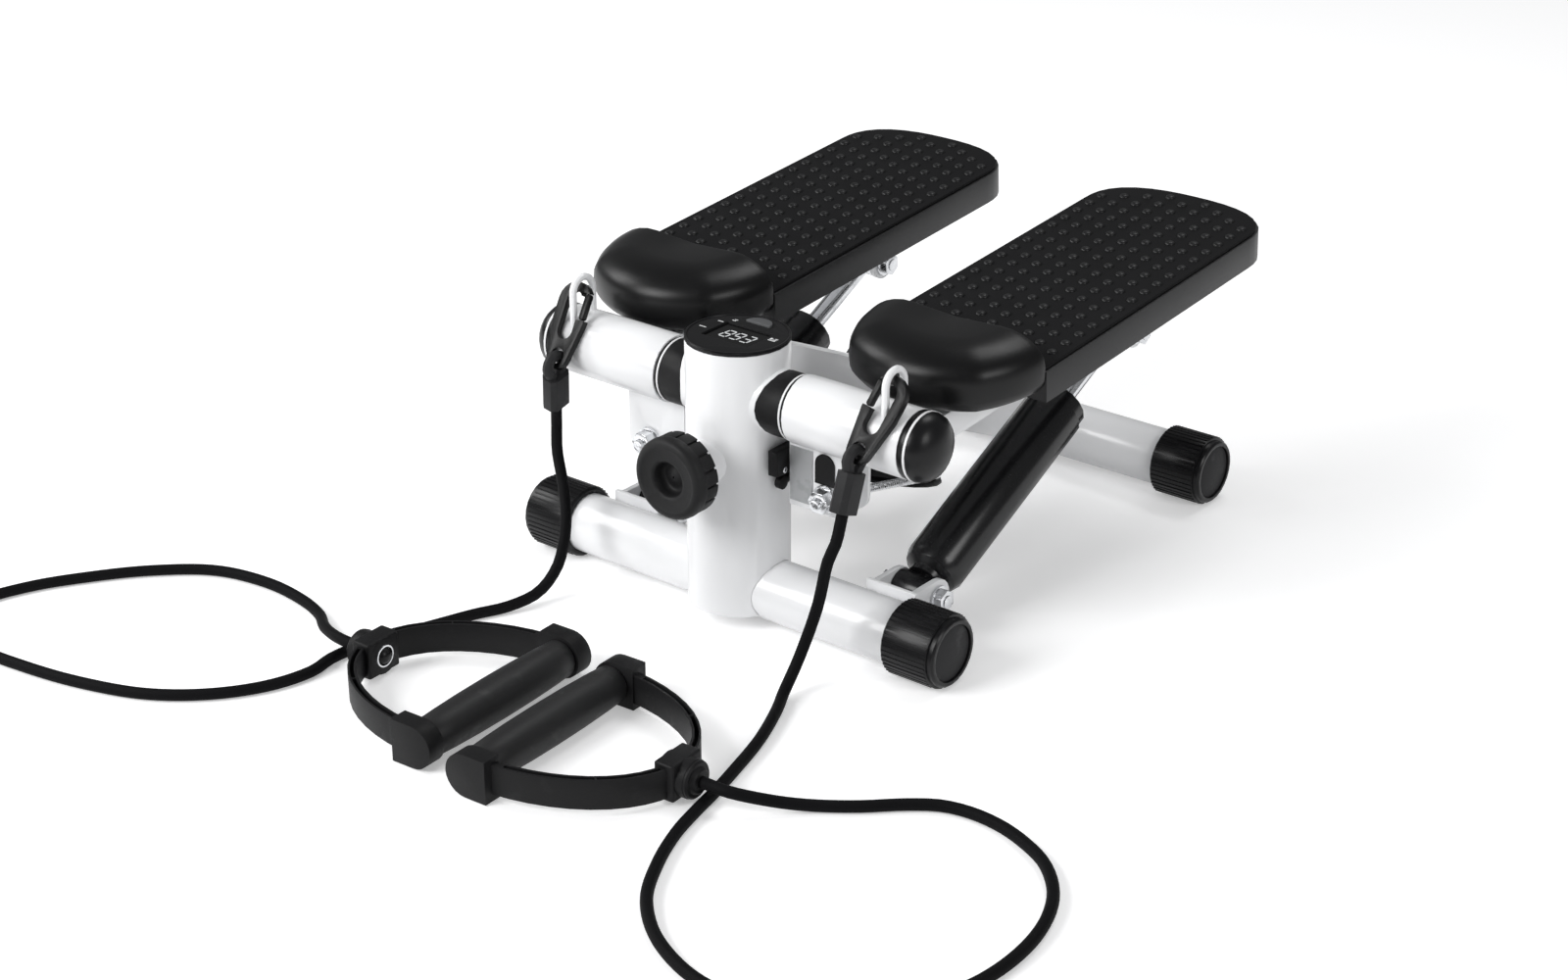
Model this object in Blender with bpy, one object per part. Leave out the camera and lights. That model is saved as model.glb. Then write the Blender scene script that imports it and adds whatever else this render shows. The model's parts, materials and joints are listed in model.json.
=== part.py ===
"""Mini stepper: two pedals on one shaft, coupled by a rope round a pulley, each with a damper.

Metres, +Z up, the floor at z = 0. The front of the machine, with its knob, faces -Y. Places
along Y are given from the front cross tube's axis, in the frame named machine, which stands
so that the origin lies under the centre of the whole object. Right is +X, seen from the
front. Every piece that comes in a pair is drawn for the right side and mirrored for the left.
"""
import math

import bmesh
import bpy
from mathutils import Matrix, Vector

# Fits and meshing
GAP = 0.0003
BITE = 0.001
MERGE = 0.00001
SIDES = 16
FINE_SIDES = 24
SMOOTH_ANGLE = math.radians(35)
RIGHT = 1
LEFT = -1
SIDE_NAMES = {RIGHT: "right", LEFT: "left"}

# Cross tubes and their caps
TUBE_SPACING = 0.3126
TUBE_RADIUS = 0.019
TUBE_WALL = 0.0018
BRACKET_TO_CAP = 0.0052
REAR_HALF_WIDTH = 0.1475
CAP_WALL = 0.0035
CAP_FLAT = 0.0006
CAP_LENGTH = 0.0365
CAP_END_WALL = 0.006
CAP_RIM_STEP = 0.0016
CAP_RIM_LENGTH = 0.004
CAP_DISC_RADIUS = 0.0178
CAP_DISC_DEPTH = 0.0018
CAP_CHAMFER = 0.0012

# Post, shaft and step adjuster
POST_RADIUS = 0.0316
POST_WALL = 0.0025
POST_SKIRT = 0.0122
SHAFT_Z = 0.1463
SHAFT_RADIUS = 0.010
SHAFT_HALF_LENGTH = 0.118
KNOB_Z = 0.1098
KNOB_BOSS_RADIUS = 0.014
KNOB_BOSS_LENGTH = 0.0159
KNOB_RADIUS = 0.0254
KNOB_GROOVE_DEPTH = 0.0015
KNOB_GRIPS = 14
KNOB_GRIP_SHARE = 0.62
KNOB_DEPTH = 0.0184
KNOB_SHOULDER = 0.0030
KNOB_FACE_RADIUS = 0.0215
KNOB_DISH_RADIUS = 0.0105
KNOB_DISH_DEPTH = 0.0035
KNOB_BUTTON_RADIUS = 0.0075
SCREW_RADIUS = 0.005
SCREW_IN_KNOB = 0.009
SCREW_IN_POST = 0.012

# Beam between post and rear tube, with the pulley under it
BEAM_SIZE = 0.032
BEAM_WALL = 0.002
BEAM_TOP_Z = 0.1683
PULLEY_Y = 0.128
PULLEY_Z = 0.056
PULLEY_ROPE_RADIUS = 0.046
PULLEY_RADIUS = 0.0495
PULLEY_THICKNESS = 0.012
PULLEY_WEB = 0.006
PULLEY_HUB_RADIUS = 0.013
PULLEY_RIM_RADIUS = 0.037
STEM_RADIUS = 0.0115
PULLEY_BOLT_RADIUS = 0.005
PULLEY_BOLT_GRIP = 0.016
PULLEY_RUNNING_GAP = 0.0006
ROPE_RADIUS = 0.0025
ROPE_Z = 0.0950
ROPE_HALF_SPAN = 0.068
ROPE_ARC_STEPS = 16
ROPE_RUN_STEPS = 6
NUT_ACROSS = 0.013
NUT_THICKNESS = 0.0070
NUT_WASHER_RADIUS = 0.0088
NUT_WASHER_THICKNESS = 0.0016
STUD_RADIUS = 0.0035
STUD_TAIL = 0.0025
STUD_TIP = 0.0035
ROPE_END_GAP = 0.0016

# Pedal sleeves on the shaft
SLEEVE_INNER_X = 0.0491
SLEEVE_OUTER_X = 0.1310
SLEEVE_RADIUS = 0.0209
SLEEVE_WALL = 0.0034
SADDLE_RISE = 0.0030
BUSH_RADIUS = 0.0199
BUSH_SPIGOT = 0.020
BUSH_GROOVE_X = 0.0459
BUSH_GROOVE_WIDTH = 0.0010
GROOVE_DEPTH = 0.0007
DOME_SPIGOT = 0.016
DOME_GROOVE = 0.0042
DOME_GROOVE_WIDTH = 0.0013
DOME_FLANGE = 0.0060
DOME_LENGTH = 0.0187
DOME_STEPS = 5
HOOK_RING_X = 0.118
HOOK_RING_Y = -0.0048
HOOK_RING_LEG = 0.0143
HOOK_RING_RADIUS = 0.0087
HOOK_RING_WIRE = 0.0023
HOOK_RING_STEPS = 12
BRACKET_INNER_X = 0.0405
BRACKET_OUTER_X = 0.085
BRACKET_FRONT_Y = -0.002
BRACKET_DEPTH = 0.020
BRACKET_WALL = 0.0025
BRACKET_LOW_Z = 0.084
BRACKET_WEB_DROP = 0.0035
BRACKET_CORNER = 0.011
BUSH_CLEARANCE = 0.0008

# Pedals, in a frame on the shaft's axis that is tilted back by PEDAL_TILT
PEDAL_TILT = math.radians(4.18)
PEDAL_X = 0.1002
PEDAL_HALF_WIDTH = 0.0619
TREAD_HEIGHT = 0.0218
MAT_THICKNESS = 0.0022
MAT_INSET = 0.0014
PLATE_THICKNESS = 0.0038
PLATE_DEPTH = 0.0220
SKIRT_WALL = 0.0032
HEEL_REACH = 0.3515
HEEL_ARC_LENGTH = 0.0395
HEEL_POWER = 2.5
HEEL_STEPS = 18
RIB_THICKNESS = 0.0030
RIB_ROWS = 5
TONGUE_HALF_WIDTH = 0.036
TONGUE_LENGTH = 0.033
TONGUE_DEPTH = 0.0125
TONGUE_THICKNESS = 0.0065
CUP_CLEARANCE = 0.0027
CUP_LENGTH = 0.060
CUP_HEIGHT = 0.0185
CUP_DEPTH = 0.0160
CUP_PLAN_POWER = 2.4
CUP_SECTION_POWER = 4.0
CUP_DIP = 0.0030
CUP_SCOOP = 0.010
CUP_WALL = 0.0045
CUP_PLAN_STEPS = 20
CUP_SECTION_STEPS = 12
CUP_SCOOP_RINGS = 3
ARM_WIDTH = 0.044
ARM_HEIGHT = 0.018
ARM_WALL = 0.002
ARM_REACH = 0.2966

# Dampers: pivots, from the front tube's axis and the floor
DAMPER_X = 0.100
LOWER_PIVOT_Y = 0.045
LOWER_PIVOT_Z = 0.026
UPPER_PIVOT_Y = 0.260
UPPER_PIVOT_Z = 0.130
PIVOT_BOLT_RADIUS = 0.004
UPPER_EYE_BORE = 0.0062
EAR_THICKNESS = 0.004
EAR_CLEARANCE = 0.0005
LOWER_EYE_HALF_WIDTH = 0.0115
LOWER_EYE_RADIUS = 0.0115
LOWER_EAR_RADIUS = 0.012
BRACKET_PLATE = 0.003
BRACKET_PLATE_HALF_WIDTH = 0.018
BRACKET_PLATE_LOW = 0.009
BRACKET_PLATE_HIGH = 0.039
UPPER_EYE_HALF_WIDTH = 0.009
UPPER_EYE_RADIUS = 0.0105
UPPER_EAR_RADIUS = 0.011
UPPER_EAR_SPREAD = 0.017
BODY_RADIUS = 0.0195
BODY_WALL = 0.0020
BODY_START = 0.022
BODY_FOOT = 0.009
BODY_NECK_RADIUS = 0.0117
BODY_NECK_END = 0.0126
BODY_SHOULDER_RADIUS = 0.0172
BODY_SHOULDER = 0.0158
COLLAR_START = 0.158
COLLAR_RADIUS = 0.0180
COLLAR_END = 0.167
ROD_RADIUS = 0.006
PISTON_START = 0.092
PISTON_LENGTH = 0.010
BOLT_HEAD_ACROSS = 0.0130
BOLT_HEAD_THICKNESS = 0.0052
BOLT_WASHER_RADIUS = 0.0085
BOLT_WASHER_THICKNESS = 0.0014

# Display on the post, and the counter's switch
DISPLAY_TOP_Z = 0.181
DISPLAY_RIM = 0.0020
DISPLAY_OVERHANG = 0.0002
DISPLAY_PLUG = 0.016
DISPLAY_SHELL = 0.0045
WINDOW_WIDTH = 0.035
WINDOW_LENGTH = 0.025
WINDOW_Y = -0.0005
WINDOW_RECESS = 0.0026
WINDOW_THICKNESS = 0.0010
PANEL_THICKNESS = 0.0010
BUTTON_WIDTH = 0.0185
BUTTON_LENGTH = 0.0088
BUTTON_Y = 0.0182
BUTTON_PROUD = 0.0012
BUTTON_STEPS = 10
SWITCH_THICKNESS = 0.0073
SWITCH_LENGTH = 0.029
SWITCH_HEIGHT = 0.0155
SWITCH_Y = 0.002
SWITCH_Z = 0.1113
LEVER_WIDTH = 0.004
LEVER_THICKNESS = 0.0015
LEVER_LENGTH = 0.0165
LEVER_TIP_RADIUS = 0.0042
LEVER_DROP = 0.0026
LEVER_SLOPE = math.radians(14)

# Hooks and the clamps of the bands, hung in the sleeves' rings
HOOK_THICKNESS = 0.0046
HOOK_WIDTH = 0.024
HOOK_SLOT_WIDTH = 0.0112
HOOK_SLOT_LENGTH = 0.031
HOOK_BAR = 0.0056
HOOK_WEB = 0.0056
HOOK_EYE_RADIUS = 0.005
HOOK_EYE_RIM = 0.003
HOOK_LIFT = 0.0020
HOOK_SHIFT = 0.0015
HOOK_ARC_STEPS = 10
HOOK_YAW = {RIGHT: math.radians(11), LEFT: math.radians(2)}
GATE_START = 0.0005
GATE_LENGTH = 0.0165
GATE_THICKNESS = 0.0040
CLAMP_WIDTH = 0.012
CLAMP_DEPTH = 0.0168
CLAMP_LENGTH = 0.024
CLAMP_DROP = 0.0062
CLAMP_EASE = 0.003
CLAMP_LEAN = {RIGHT: math.radians(20), LEFT: math.radians(-14)}
CLAMP_SPREAD = {RIGHT: 0.0, LEFT: math.radians(14)}
LOOP_BEND = 0.0068
LOOP_LEG_SPREAD = 0.0042
LOOP_STEPS = 12

# Bands and their handles, lying on the floor in front
BAND_RADIUS = 0.0035
BAND_SPACING = 0.0175
HANDLE_HEIGHT = 0.0135
HANDLE_PLACE = {RIGHT: (0.0216, -0.1953), LEFT: (0.0223, -0.1910)}
HANDLE_TURN = {RIGHT: math.radians(3), LEFT: math.radians(-3)}
HANDLE_HALF_LENGTH = 0.070
STRAP_REACH = 0.096
STRAP_HALF_SPAN = 0.065
STRAP_HEIGHT = 0.018
STRAP_THICKNESS = 0.0052
STRAP_STEPS = 24
END_BLOCK_REACH = 0.0150
END_BLOCK_LENGTH = 0.012
END_BLOCK_RADIUS = 0.0132
CORE_RADIUS = 0.008
GRIP_RADIUS = 0.0125
HANDLE_BOSS_RADIUS = 0.0115
HANDLE_BOSS_START = 0.085
HANDLE_BOSS_END = 0.108
HANDLE_COLLAR_RADIUS = 0.0075
HANDLE_COLLAR_LENGTH = 0.003

# Routes of the bands' centre lines, chosen by hand, between clamp and handle
BAND_ROUTE = {
    RIGHT: [(0.1065, -0.05, 0.085), (0.098, -0.049, 0.052), (0.091, -0.057, 0.020),
            (0.0925, -0.073, 0.0048), (0.100, -0.088, 0.0036), (0.1143, -0.122, 0.0036),
            (0.1241, -0.155, 0.0036), (0.1307, -0.18, 0.0036), (0.1355, -0.202, 0.0036),
            (0.1417, -0.2255, 0.0036), (0.1535, -0.254, 0.0036), (0.172, -0.284, 0.0036),
            (0.203, -0.309, 0.0036), (0.245, -0.322, 0.0036), (0.290, -0.312, 0.0036),
            (0.325, -0.283, 0.0036), (0.344, -0.24, 0.0036), (0.345, -0.192, 0.0036),
            (0.332, -0.154, 0.0036), (0.311, -0.13, 0.0036), (0.2906, -0.119, 0.0036),
            (0.2708, -0.113, 0.0036), (0.2509, -0.112, 0.0036), (0.2346, -0.116, 0.0036),
            (0.2196, -0.1265, 0.0036), (0.2003, -0.1445, 0.0036), (0.1815, -0.159, 0.004),
            (0.167, -0.172, 0.007)],
    LEFT: [(-0.1255, -0.0245, 0.080), (-0.1176, -0.03, 0.0685), (-0.1085, -0.037, 0.058),
           (-0.1015, -0.044, 0.047), (-0.0977, -0.051, 0.034), (-0.0978, -0.058, 0.020),
           (-0.1002, -0.072, 0.0085), (-0.107, -0.091, 0.0042), (-0.1168, -0.111, 0.0036),
           (-0.1244, -0.1325, 0.0036), (-0.135, -0.164, 0.0036), (-0.1427, -0.192, 0.0036),
           (-0.1432, -0.206, 0.0036), (-0.1405, -0.222, 0.0036), (-0.1468, -0.2491, 0.0036),
           (-0.1658, -0.2777, 0.0036), (-0.1945, -0.3005, 0.0036), (-0.2334, -0.3151, 0.0036),
           (-0.2742, -0.3233, 0.0036), (-0.3167, -0.326, 0.0036), (-0.3508, -0.3147, 0.0036),
           (-0.3661, -0.2888, 0.0036), (-0.3588, -0.2575, 0.0036), (-0.3411, -0.2261, 0.0036),
           (-0.3166, -0.1944, 0.0036), (-0.2855, -0.1695, 0.0036), (-0.2462, -0.1608, 0.0036),
           (-0.21, -0.164, 0.0036), (-0.19, -0.1705, 0.0038), (-0.177, -0.176, 0.0052)],
}

# Values that follow from the sizes above
CAP_RADIUS = TUBE_RADIUS + GAP + CAP_WALL
TUBE_Z = CAP_RADIUS - CAP_FLAT
SLEEVE_BORE = SLEEVE_RADIUS - SLEEVE_WALL
SHAFT_HOLE = SHAFT_RADIUS + GAP
BOLT_HOLE = PIVOT_BOLT_RADIUS + GAP
ROPE_HOLE = ROPE_RADIUS + 2 * GAP
ROPE_START_Y = BRACKET_FRONT_Y + BRACKET_WALL + STUD_TAIL + ROPE_END_GAP
POST_TOP_Z = DISPLAY_TOP_Z - DISPLAY_RIM - GAP
CUP_FRONT = SLEEVE_RADIUS + CUP_CLEARANCE
CUP_REAR = CUP_FRONT + CUP_LENGTH
ARM_TOP = TREAD_HEIGHT - PLATE_DEPTH - GAP
HEEL_Y = HEEL_REACH * math.cos(PEDAL_TILT) - (TREAD_HEIGHT - PLATE_DEPTH) * math.sin(PEDAL_TILT)
HANDLE_FRONT_Y = min(HANDLE_PLACE[side][1] - HANDLE_HALF_LENGTH * math.cos(HANDLE_TURN[side])
                     - END_BLOCK_REACH * abs(math.sin(HANDLE_TURN[side]))
                     for side in SIDE_NAMES)
FRONT_TUBE_Y = -(HEEL_Y + HANDLE_FRONT_Y) / 2
FRONT_HALF_WIDTH = DAMPER_X + BRACKET_PLATE_HALF_WIDTH + BRACKET_TO_CAP + CAP_LENGTH

# Finishes: colour, roughness, metallic
WHITE_STEEL = ((0.86, 0.87, 0.89, 1), 0.32, 0.1)
BRIGHT_STEEL = ((0.78, 0.79, 0.81, 1), 0.22, 1.0)
GLOSS_BLACK = ((0.015, 0.015, 0.016, 1), 0.22, 0.0)
SATIN_BLACK = ((0.025, 0.025, 0.027, 1), 0.45, 0.0)
MATT_BLACK = ((0.030, 0.030, 0.032, 1), 0.70, 0.0)
RUBBER_BLACK = ((0.022, 0.022, 0.023, 1), 0.60, 0.0)
SMOKED_CLEAR = ((0.06, 0.07, 0.08, 1), 0.08, 0.0)
LCD_GREY = ((0.10, 0.11, 0.11, 1), 0.40, 0.0)

# Turns that lay a shape drawn along Z along another axis
ALONG_X = Matrix.Rotation(math.pi / 2, 4, "Y")
AGAINST_X = Matrix.Rotation(-math.pi / 2, 4, "Y")
ALONG_Y = Matrix.Rotation(-math.pi / 2, 4, "X")
AGAINST_Y = Matrix.Rotation(math.pi / 2, 4, "X")
YZ_ALONG_X = Matrix(((0, 0, 1, 0), (1, 0, 0, 0), (0, 1, 0, 0), (0, 0, 0, 1)))
MIRROR_X = Matrix.Diagonal((-1, 1, 1, 1))


def clear_scene():
    for item in list(bpy.data.objects):
        bpy.data.objects.remove(item, do_unlink=True)


def paint(item, finish):
    colour, roughness, metallic = finish
    material = bpy.data.materials.new(item.name)
    material.use_nodes = True
    shader = material.node_tree.nodes["Principled BSDF"]
    shader.inputs["Base Color"].default_value = colour
    shader.inputs["Roughness"].default_value = roughness
    shader.inputs["Metallic"].default_value = metallic
    material.diffuse_color = colour
    item.data.materials.append(material)


def link(item, frame):
    bpy.context.scene.collection.objects.link(item)
    item.parent = frame
    return item


def empty(name, place, turn, frame, side=RIGHT):
    """A frame that pieces hang on: it sits on the joint's axis of what moves with it."""
    item = bpy.data.objects.new(name, None)
    matrix = Matrix.Translation(place) @ turn.to_4x4()
    if side == LEFT:
        matrix = MIRROR_X @ matrix @ MIRROR_X
    link(item, frame)
    item.matrix_basis = matrix
    return item


def to_mesh(name, shape, side):
    if side == LEFT:
        shape.transform(MIRROR_X)
        bmesh.ops.reverse_faces(shape, faces=shape.faces)
    mesh = bpy.data.meshes.new(name)
    shape.to_mesh(mesh)
    shape.free()
    return mesh


def piece(name, shape, finish, frame, side=RIGHT, joined=(), cut=()):
    """One sub-part: its shape, with other shapes joined to it and then cut out of it."""
    item = link(bpy.data.objects.new(name, to_mesh(name, shape, side)), frame)
    for operation, helpers in (("UNION", joined), ("DIFFERENCE", cut)):
        for helper in helpers:
            combine(item, helper, operation, frame, side)
    paint(item, finish)
    item.data.shade_smooth()
    item.data.set_sharp_from_angle(angle=SMOOTH_ANGLE)
    return item


def combine(item, shape, operation, frame, side):
    name = f"{item.name}_{operation.lower()}_{len(item.modifiers)}"
    helper = link(bpy.data.objects.new(name, to_mesh(name, shape, side)), frame)
    helper.hide_render = True
    helper.display_type = "WIRE"
    modifier = item.modifiers.new(name, "BOOLEAN")
    modifier.operation = operation
    modifier.solver = "EXACT"
    modifier.object = helper
    return helper


def moved(shape, x=0.0, y=0.0, z=0.0, turn=Matrix.Identity(4)):
    shape.transform(Matrix.Translation((x, y, z)) @ turn)
    return shape


def turned(profile, sides=SIDES):
    """Solid turned about Z from (radius, height) points: a closed ring, or axis to axis."""
    shape = bmesh.new()
    points = [shape.verts.new((radius, 0, height)) for radius, height in profile]
    edges = [shape.edges.new(pair) for pair in zip(points, points[1:])]
    if profile[0][0] > MERGE:
        edges.append(shape.edges.new((points[-1], points[0])))
    bmesh.ops.spin(shape, geom=points + edges, axis=(0, 0, 1), cent=(0, 0, 0),
                   angle=2 * math.pi, steps=sides, use_merge=True)
    bmesh.ops.remove_doubles(shape, verts=shape.verts, dist=MERGE)
    bmesh.ops.recalc_face_normals(shape, faces=shape.faces)
    return shape


def rod(radius, low, high, sides=SIDES):
    return turned([(0, low), (radius, low), (radius, high), (0, high)], sides)


def pipe(inner, outer, low, high, sides=SIDES):
    return turned([(inner, low), (outer, low), (outer, high), (inner, high)], sides)


def prism(outline, low, high):
    """An outline in the X-Y plane, drawn out along Z."""
    shape = bmesh.new()
    face = shape.faces.new([shape.verts.new((x, y, low)) for x, y in outline])
    drawn = bmesh.ops.extrude_face_region(shape, geom=[face])
    top = [v for v in drawn["geom"] if isinstance(v, bmesh.types.BMVert)]
    bmesh.ops.translate(shape, vec=(0, 0, high - low), verts=top)
    bmesh.ops.recalc_face_normals(shape, faces=shape.faces)
    return shape


def block(x, y, z):
    """A box between the (low, high) pairs."""
    outline = [(x[0], y[0]), (x[1], y[0]), (x[1], y[1]), (x[0], y[1])]
    return prism(outline, z[0], z[1])


def eased_block(x, y, z, ease):
    """A box with its upright edges rounded off by a chamfer."""
    (x0, x1), (y0, y1) = x, y
    outline = [(x0 + ease, y0), (x1 - ease, y0), (x1, y0 + ease), (x1, y1 - ease),
               (x1 - ease, y1), (x0 + ease, y1), (x0, y1 - ease), (x0, y0 + ease)]
    return prism(outline, z[0], z[1])


def arc(centre_x, centre_y, radius, start, end, steps):
    angles = [start + (end - start) * i / steps for i in range(steps + 1)]
    return [(centre_x + radius * math.cos(a), centre_y + radius * math.sin(a)) for a in angles]


def hexagon(across):
    corner = across / math.sqrt(3)
    return arc(0, 0, corner, 0, math.radians(300), 5)


def super_point(angle, half_x, half_y, power):
    """A point of the rounded oblong |x / half_x|^power + |y / half_y|^power = 1."""
    c, s = math.cos(angle), math.sin(angle)
    reach = (abs(c) ** power + abs(s) ** power) ** (-1 / power)
    return half_x * c * reach, half_y * s * reach


def swept(points, radius, sides=8):
    """A tube of rings along points whose path never turns along X."""
    shape = bmesh.new()
    rings = []
    for i, point in enumerate(points):
        ahead = (points[min(i + 1, len(points) - 1)] - points[max(i - 1, 0)]).normalized()
        up = Vector((1, 0, 0)).cross(ahead).normalized()
        across = ahead.cross(up)
        turns = [2 * math.pi * k / sides for k in range(sides)]
        rings.append([shape.verts.new(point + radius * (math.cos(t) * across + math.sin(t) * up))
                      for t in turns])
    for ring, following in zip(rings, rings[1:]):
        for k in range(sides):
            n = (k + 1) % sides
            shape.faces.new((ring[k], ring[n], following[n], following[k]))
    shape.faces.new(rings[0])
    shape.faces.new(rings[-1])
    bmesh.ops.recalc_face_normals(shape, faces=shape.faces)
    return shape


def smooth_route(points, spacing):
    """Points at an even spacing on a smooth curve through the route's own points."""
    fine = []
    ends = [2 * points[0] - points[1]] + points + [2 * points[-1] - points[-2]]
    for before, start, end, after in zip(ends, ends[1:], ends[2:], ends[3:]):
        spans = [math.sqrt((b - a).length) for a, b in
                 ((before, start), (start, end), (end, after))]
        leave = tangent(before, start, end, spans[0], spans[1])
        arrive = tangent(start, end, after, spans[1], spans[2])
        for i in range(20):
            fine.append(hermite(start, end, leave * spans[1], arrive * spans[1], i / 20))
    fine.append(points[-1])
    lengths = [0.0]
    for a, b in zip(fine, fine[1:]):
        lengths.append(lengths[-1] + (b - a).length)
    count = round(lengths[-1] / spacing)
    route = []
    k = 0
    for i in range(count):
        wanted = lengths[-1] * i / count
        while lengths[k + 1] < wanted:
            k += 1
        share = (wanted - lengths[k]) / (lengths[k + 1] - lengths[k])
        route.append(fine[k].lerp(fine[k + 1], share))
    route.append(fine[-1])
    return route


def tangent(before, point, after, span_before, span_after):
    return ((point - before) / span_before - (after - before) / (span_before + span_after)
            + (after - point) / span_after)


def hermite(start, end, leave, arrive, t):
    return ((2 * t ** 3 - 3 * t ** 2 + 1) * start + (t ** 3 - 2 * t ** 2 + t) * leave
            + (3 * t ** 2 - 2 * t ** 3) * end + (t ** 3 - t ** 2) * arrive)


def cord(name, points, radius, finish, resolution, frame):
    """A round cord along points in the frame's own axes."""
    curve = bpy.data.curves.new(name, "CURVE")
    curve.dimensions = "3D"
    curve.bevel_depth = radius
    curve.bevel_resolution = resolution
    curve.use_fill_caps = True
    line = curve.splines.new("POLY")
    line.points.add(len(points) - 1)
    for spot, point in zip(line.points, points):
        spot.co = (*point, 1)
    item = link(bpy.data.objects.new(name, curve), frame)
    paint(item, finish)


def cross_tubes(machine):
    bore = TUBE_RADIUS - TUBE_WALL
    for name, y, half_width in (("front_cross_tube", 0, FRONT_HALF_WIDTH),
                                ("rear_cross_tube", TUBE_SPACING, REAR_HALF_WIDTH)):
        reach = half_width - CAP_END_WALL - GAP
        tube = pipe(bore, TUBE_RADIUS, -reach, reach, FINE_SIDES)
        piece(name, moved(tube, 0, y, TUBE_Z, ALONG_X), WHITE_STEEL, machine)
        for side in (RIGHT, LEFT):
            where = name.split("_")[0]
            foot_cap(f"foot_cap_{where}_{SIDE_NAMES[side]}", y, half_width, machine, side)


def foot_cap(name, y, half_width, machine, side):
    """Cap over the tube's end: a bevelled cup with a stepped rim and a sunk disc."""
    bore = TUBE_RADIUS + GAP
    rim = CAP_RADIUS - CAP_RIM_STEP
    profile = [(0, CAP_LENGTH - CAP_END_WALL), (bore, CAP_LENGTH - CAP_END_WALL), (bore, 0),
               (CAP_RADIUS - CAP_CHAMFER, 0), (CAP_RADIUS, CAP_CHAMFER),
               (CAP_RADIUS, CAP_LENGTH - CAP_RIM_LENGTH), (rim, CAP_LENGTH - CAP_RIM_LENGTH),
               (rim, CAP_LENGTH - CAP_CHAMFER), (rim - CAP_CHAMFER, CAP_LENGTH),
               (CAP_DISC_RADIUS, CAP_LENGTH), (CAP_DISC_RADIUS, CAP_LENGTH - CAP_DISC_DEPTH),
               (0, CAP_LENGTH - CAP_DISC_DEPTH)]
    cup = turned(profile, FINE_SIDES)
    start = half_width - CAP_LENGTH
    reach = 2 * CAP_RADIUS
    below_floor = block((start - BITE, half_width + BITE), (y - reach, y + reach), (-reach, 0))
    piece(name, moved(cup, start, y, TUBE_Z, ALONG_X), GLOSS_BLACK, machine, side,
          cut=[below_floor])


def post(machine):
    """Upright tube, notched over the front tube, with the adjuster's boss and a saddle
    round the shaft."""
    low = TUBE_Z - POST_SKIRT
    boss = rod(KNOB_BOSS_RADIUS, 0, POST_RADIUS + KNOB_BOSS_LENGTH)
    item = piece("post", rod(POST_RADIUS, low, POST_TOP_Z, FINE_SIDES), WHITE_STEEL, machine,
                 joined=[moved(boss, 0, 0, KNOB_Z, AGAINST_Y)])
    across = 2 * POST_RADIUS
    tunnel = rod(BUSH_RADIUS, -across, across, FINE_SIDES)
    saddle = combine(item, moved(tunnel, 0, 0, SHAFT_Z, ALONG_X), "UNION", machine, RIGHT)
    around = rod(POST_RADIUS + SADDLE_RISE, SHAFT_Z - across, SHAFT_Z + across, FINE_SIDES)
    combine(saddle, around, "INTERSECT", machine, RIGHT)
    inside = rod(POST_RADIUS - POST_WALL, low - BITE, POST_TOP_Z + BITE, FINE_SIDES)
    notch = rod(TUBE_RADIUS + GAP, -across, across, FINE_SIDES)
    shaft_way = rod(SHAFT_HOLE + GAP, -across - BITE, across + BITE)
    screw_way = rod(SCREW_RADIUS + 2 * GAP, 0, across)
    half_step = Matrix.Rotation(math.pi / SIDES, 4, "Z")
    for way in (inside, moved(notch, 0, 0, TUBE_Z, ALONG_X),
                moved(shaft_way, 0, 0, SHAFT_Z, ALONG_X @ half_step),
                moved(screw_way, 0, 0, KNOB_Z, AGAINST_Y @ half_step)):
        combine(item, way, "DIFFERENCE", machine, RIGHT)


def beam_line():
    """Where the beam's centre line meets the post and the rear tube, and its slope."""
    high = Vector((0, POST_RADIUS, BEAM_TOP_Z))
    low = Vector((0, TUBE_SPACING, TUBE_Z))
    slope = math.atan2(high.z - low.z, low.y - high.y)
    for _ in range(4):
        centre_z = BEAM_TOP_Z - BEAM_SIZE / 2 / math.cos(slope)
        slope = math.atan2(centre_z - low.z, low.y - high.y)
    return low, slope


def pulley_tilt():
    """The pulley's plane passes through both rope ends."""
    return math.atan2(ROPE_Z - PULLEY_Z, PULLEY_Y - ROPE_START_Y)


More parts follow.
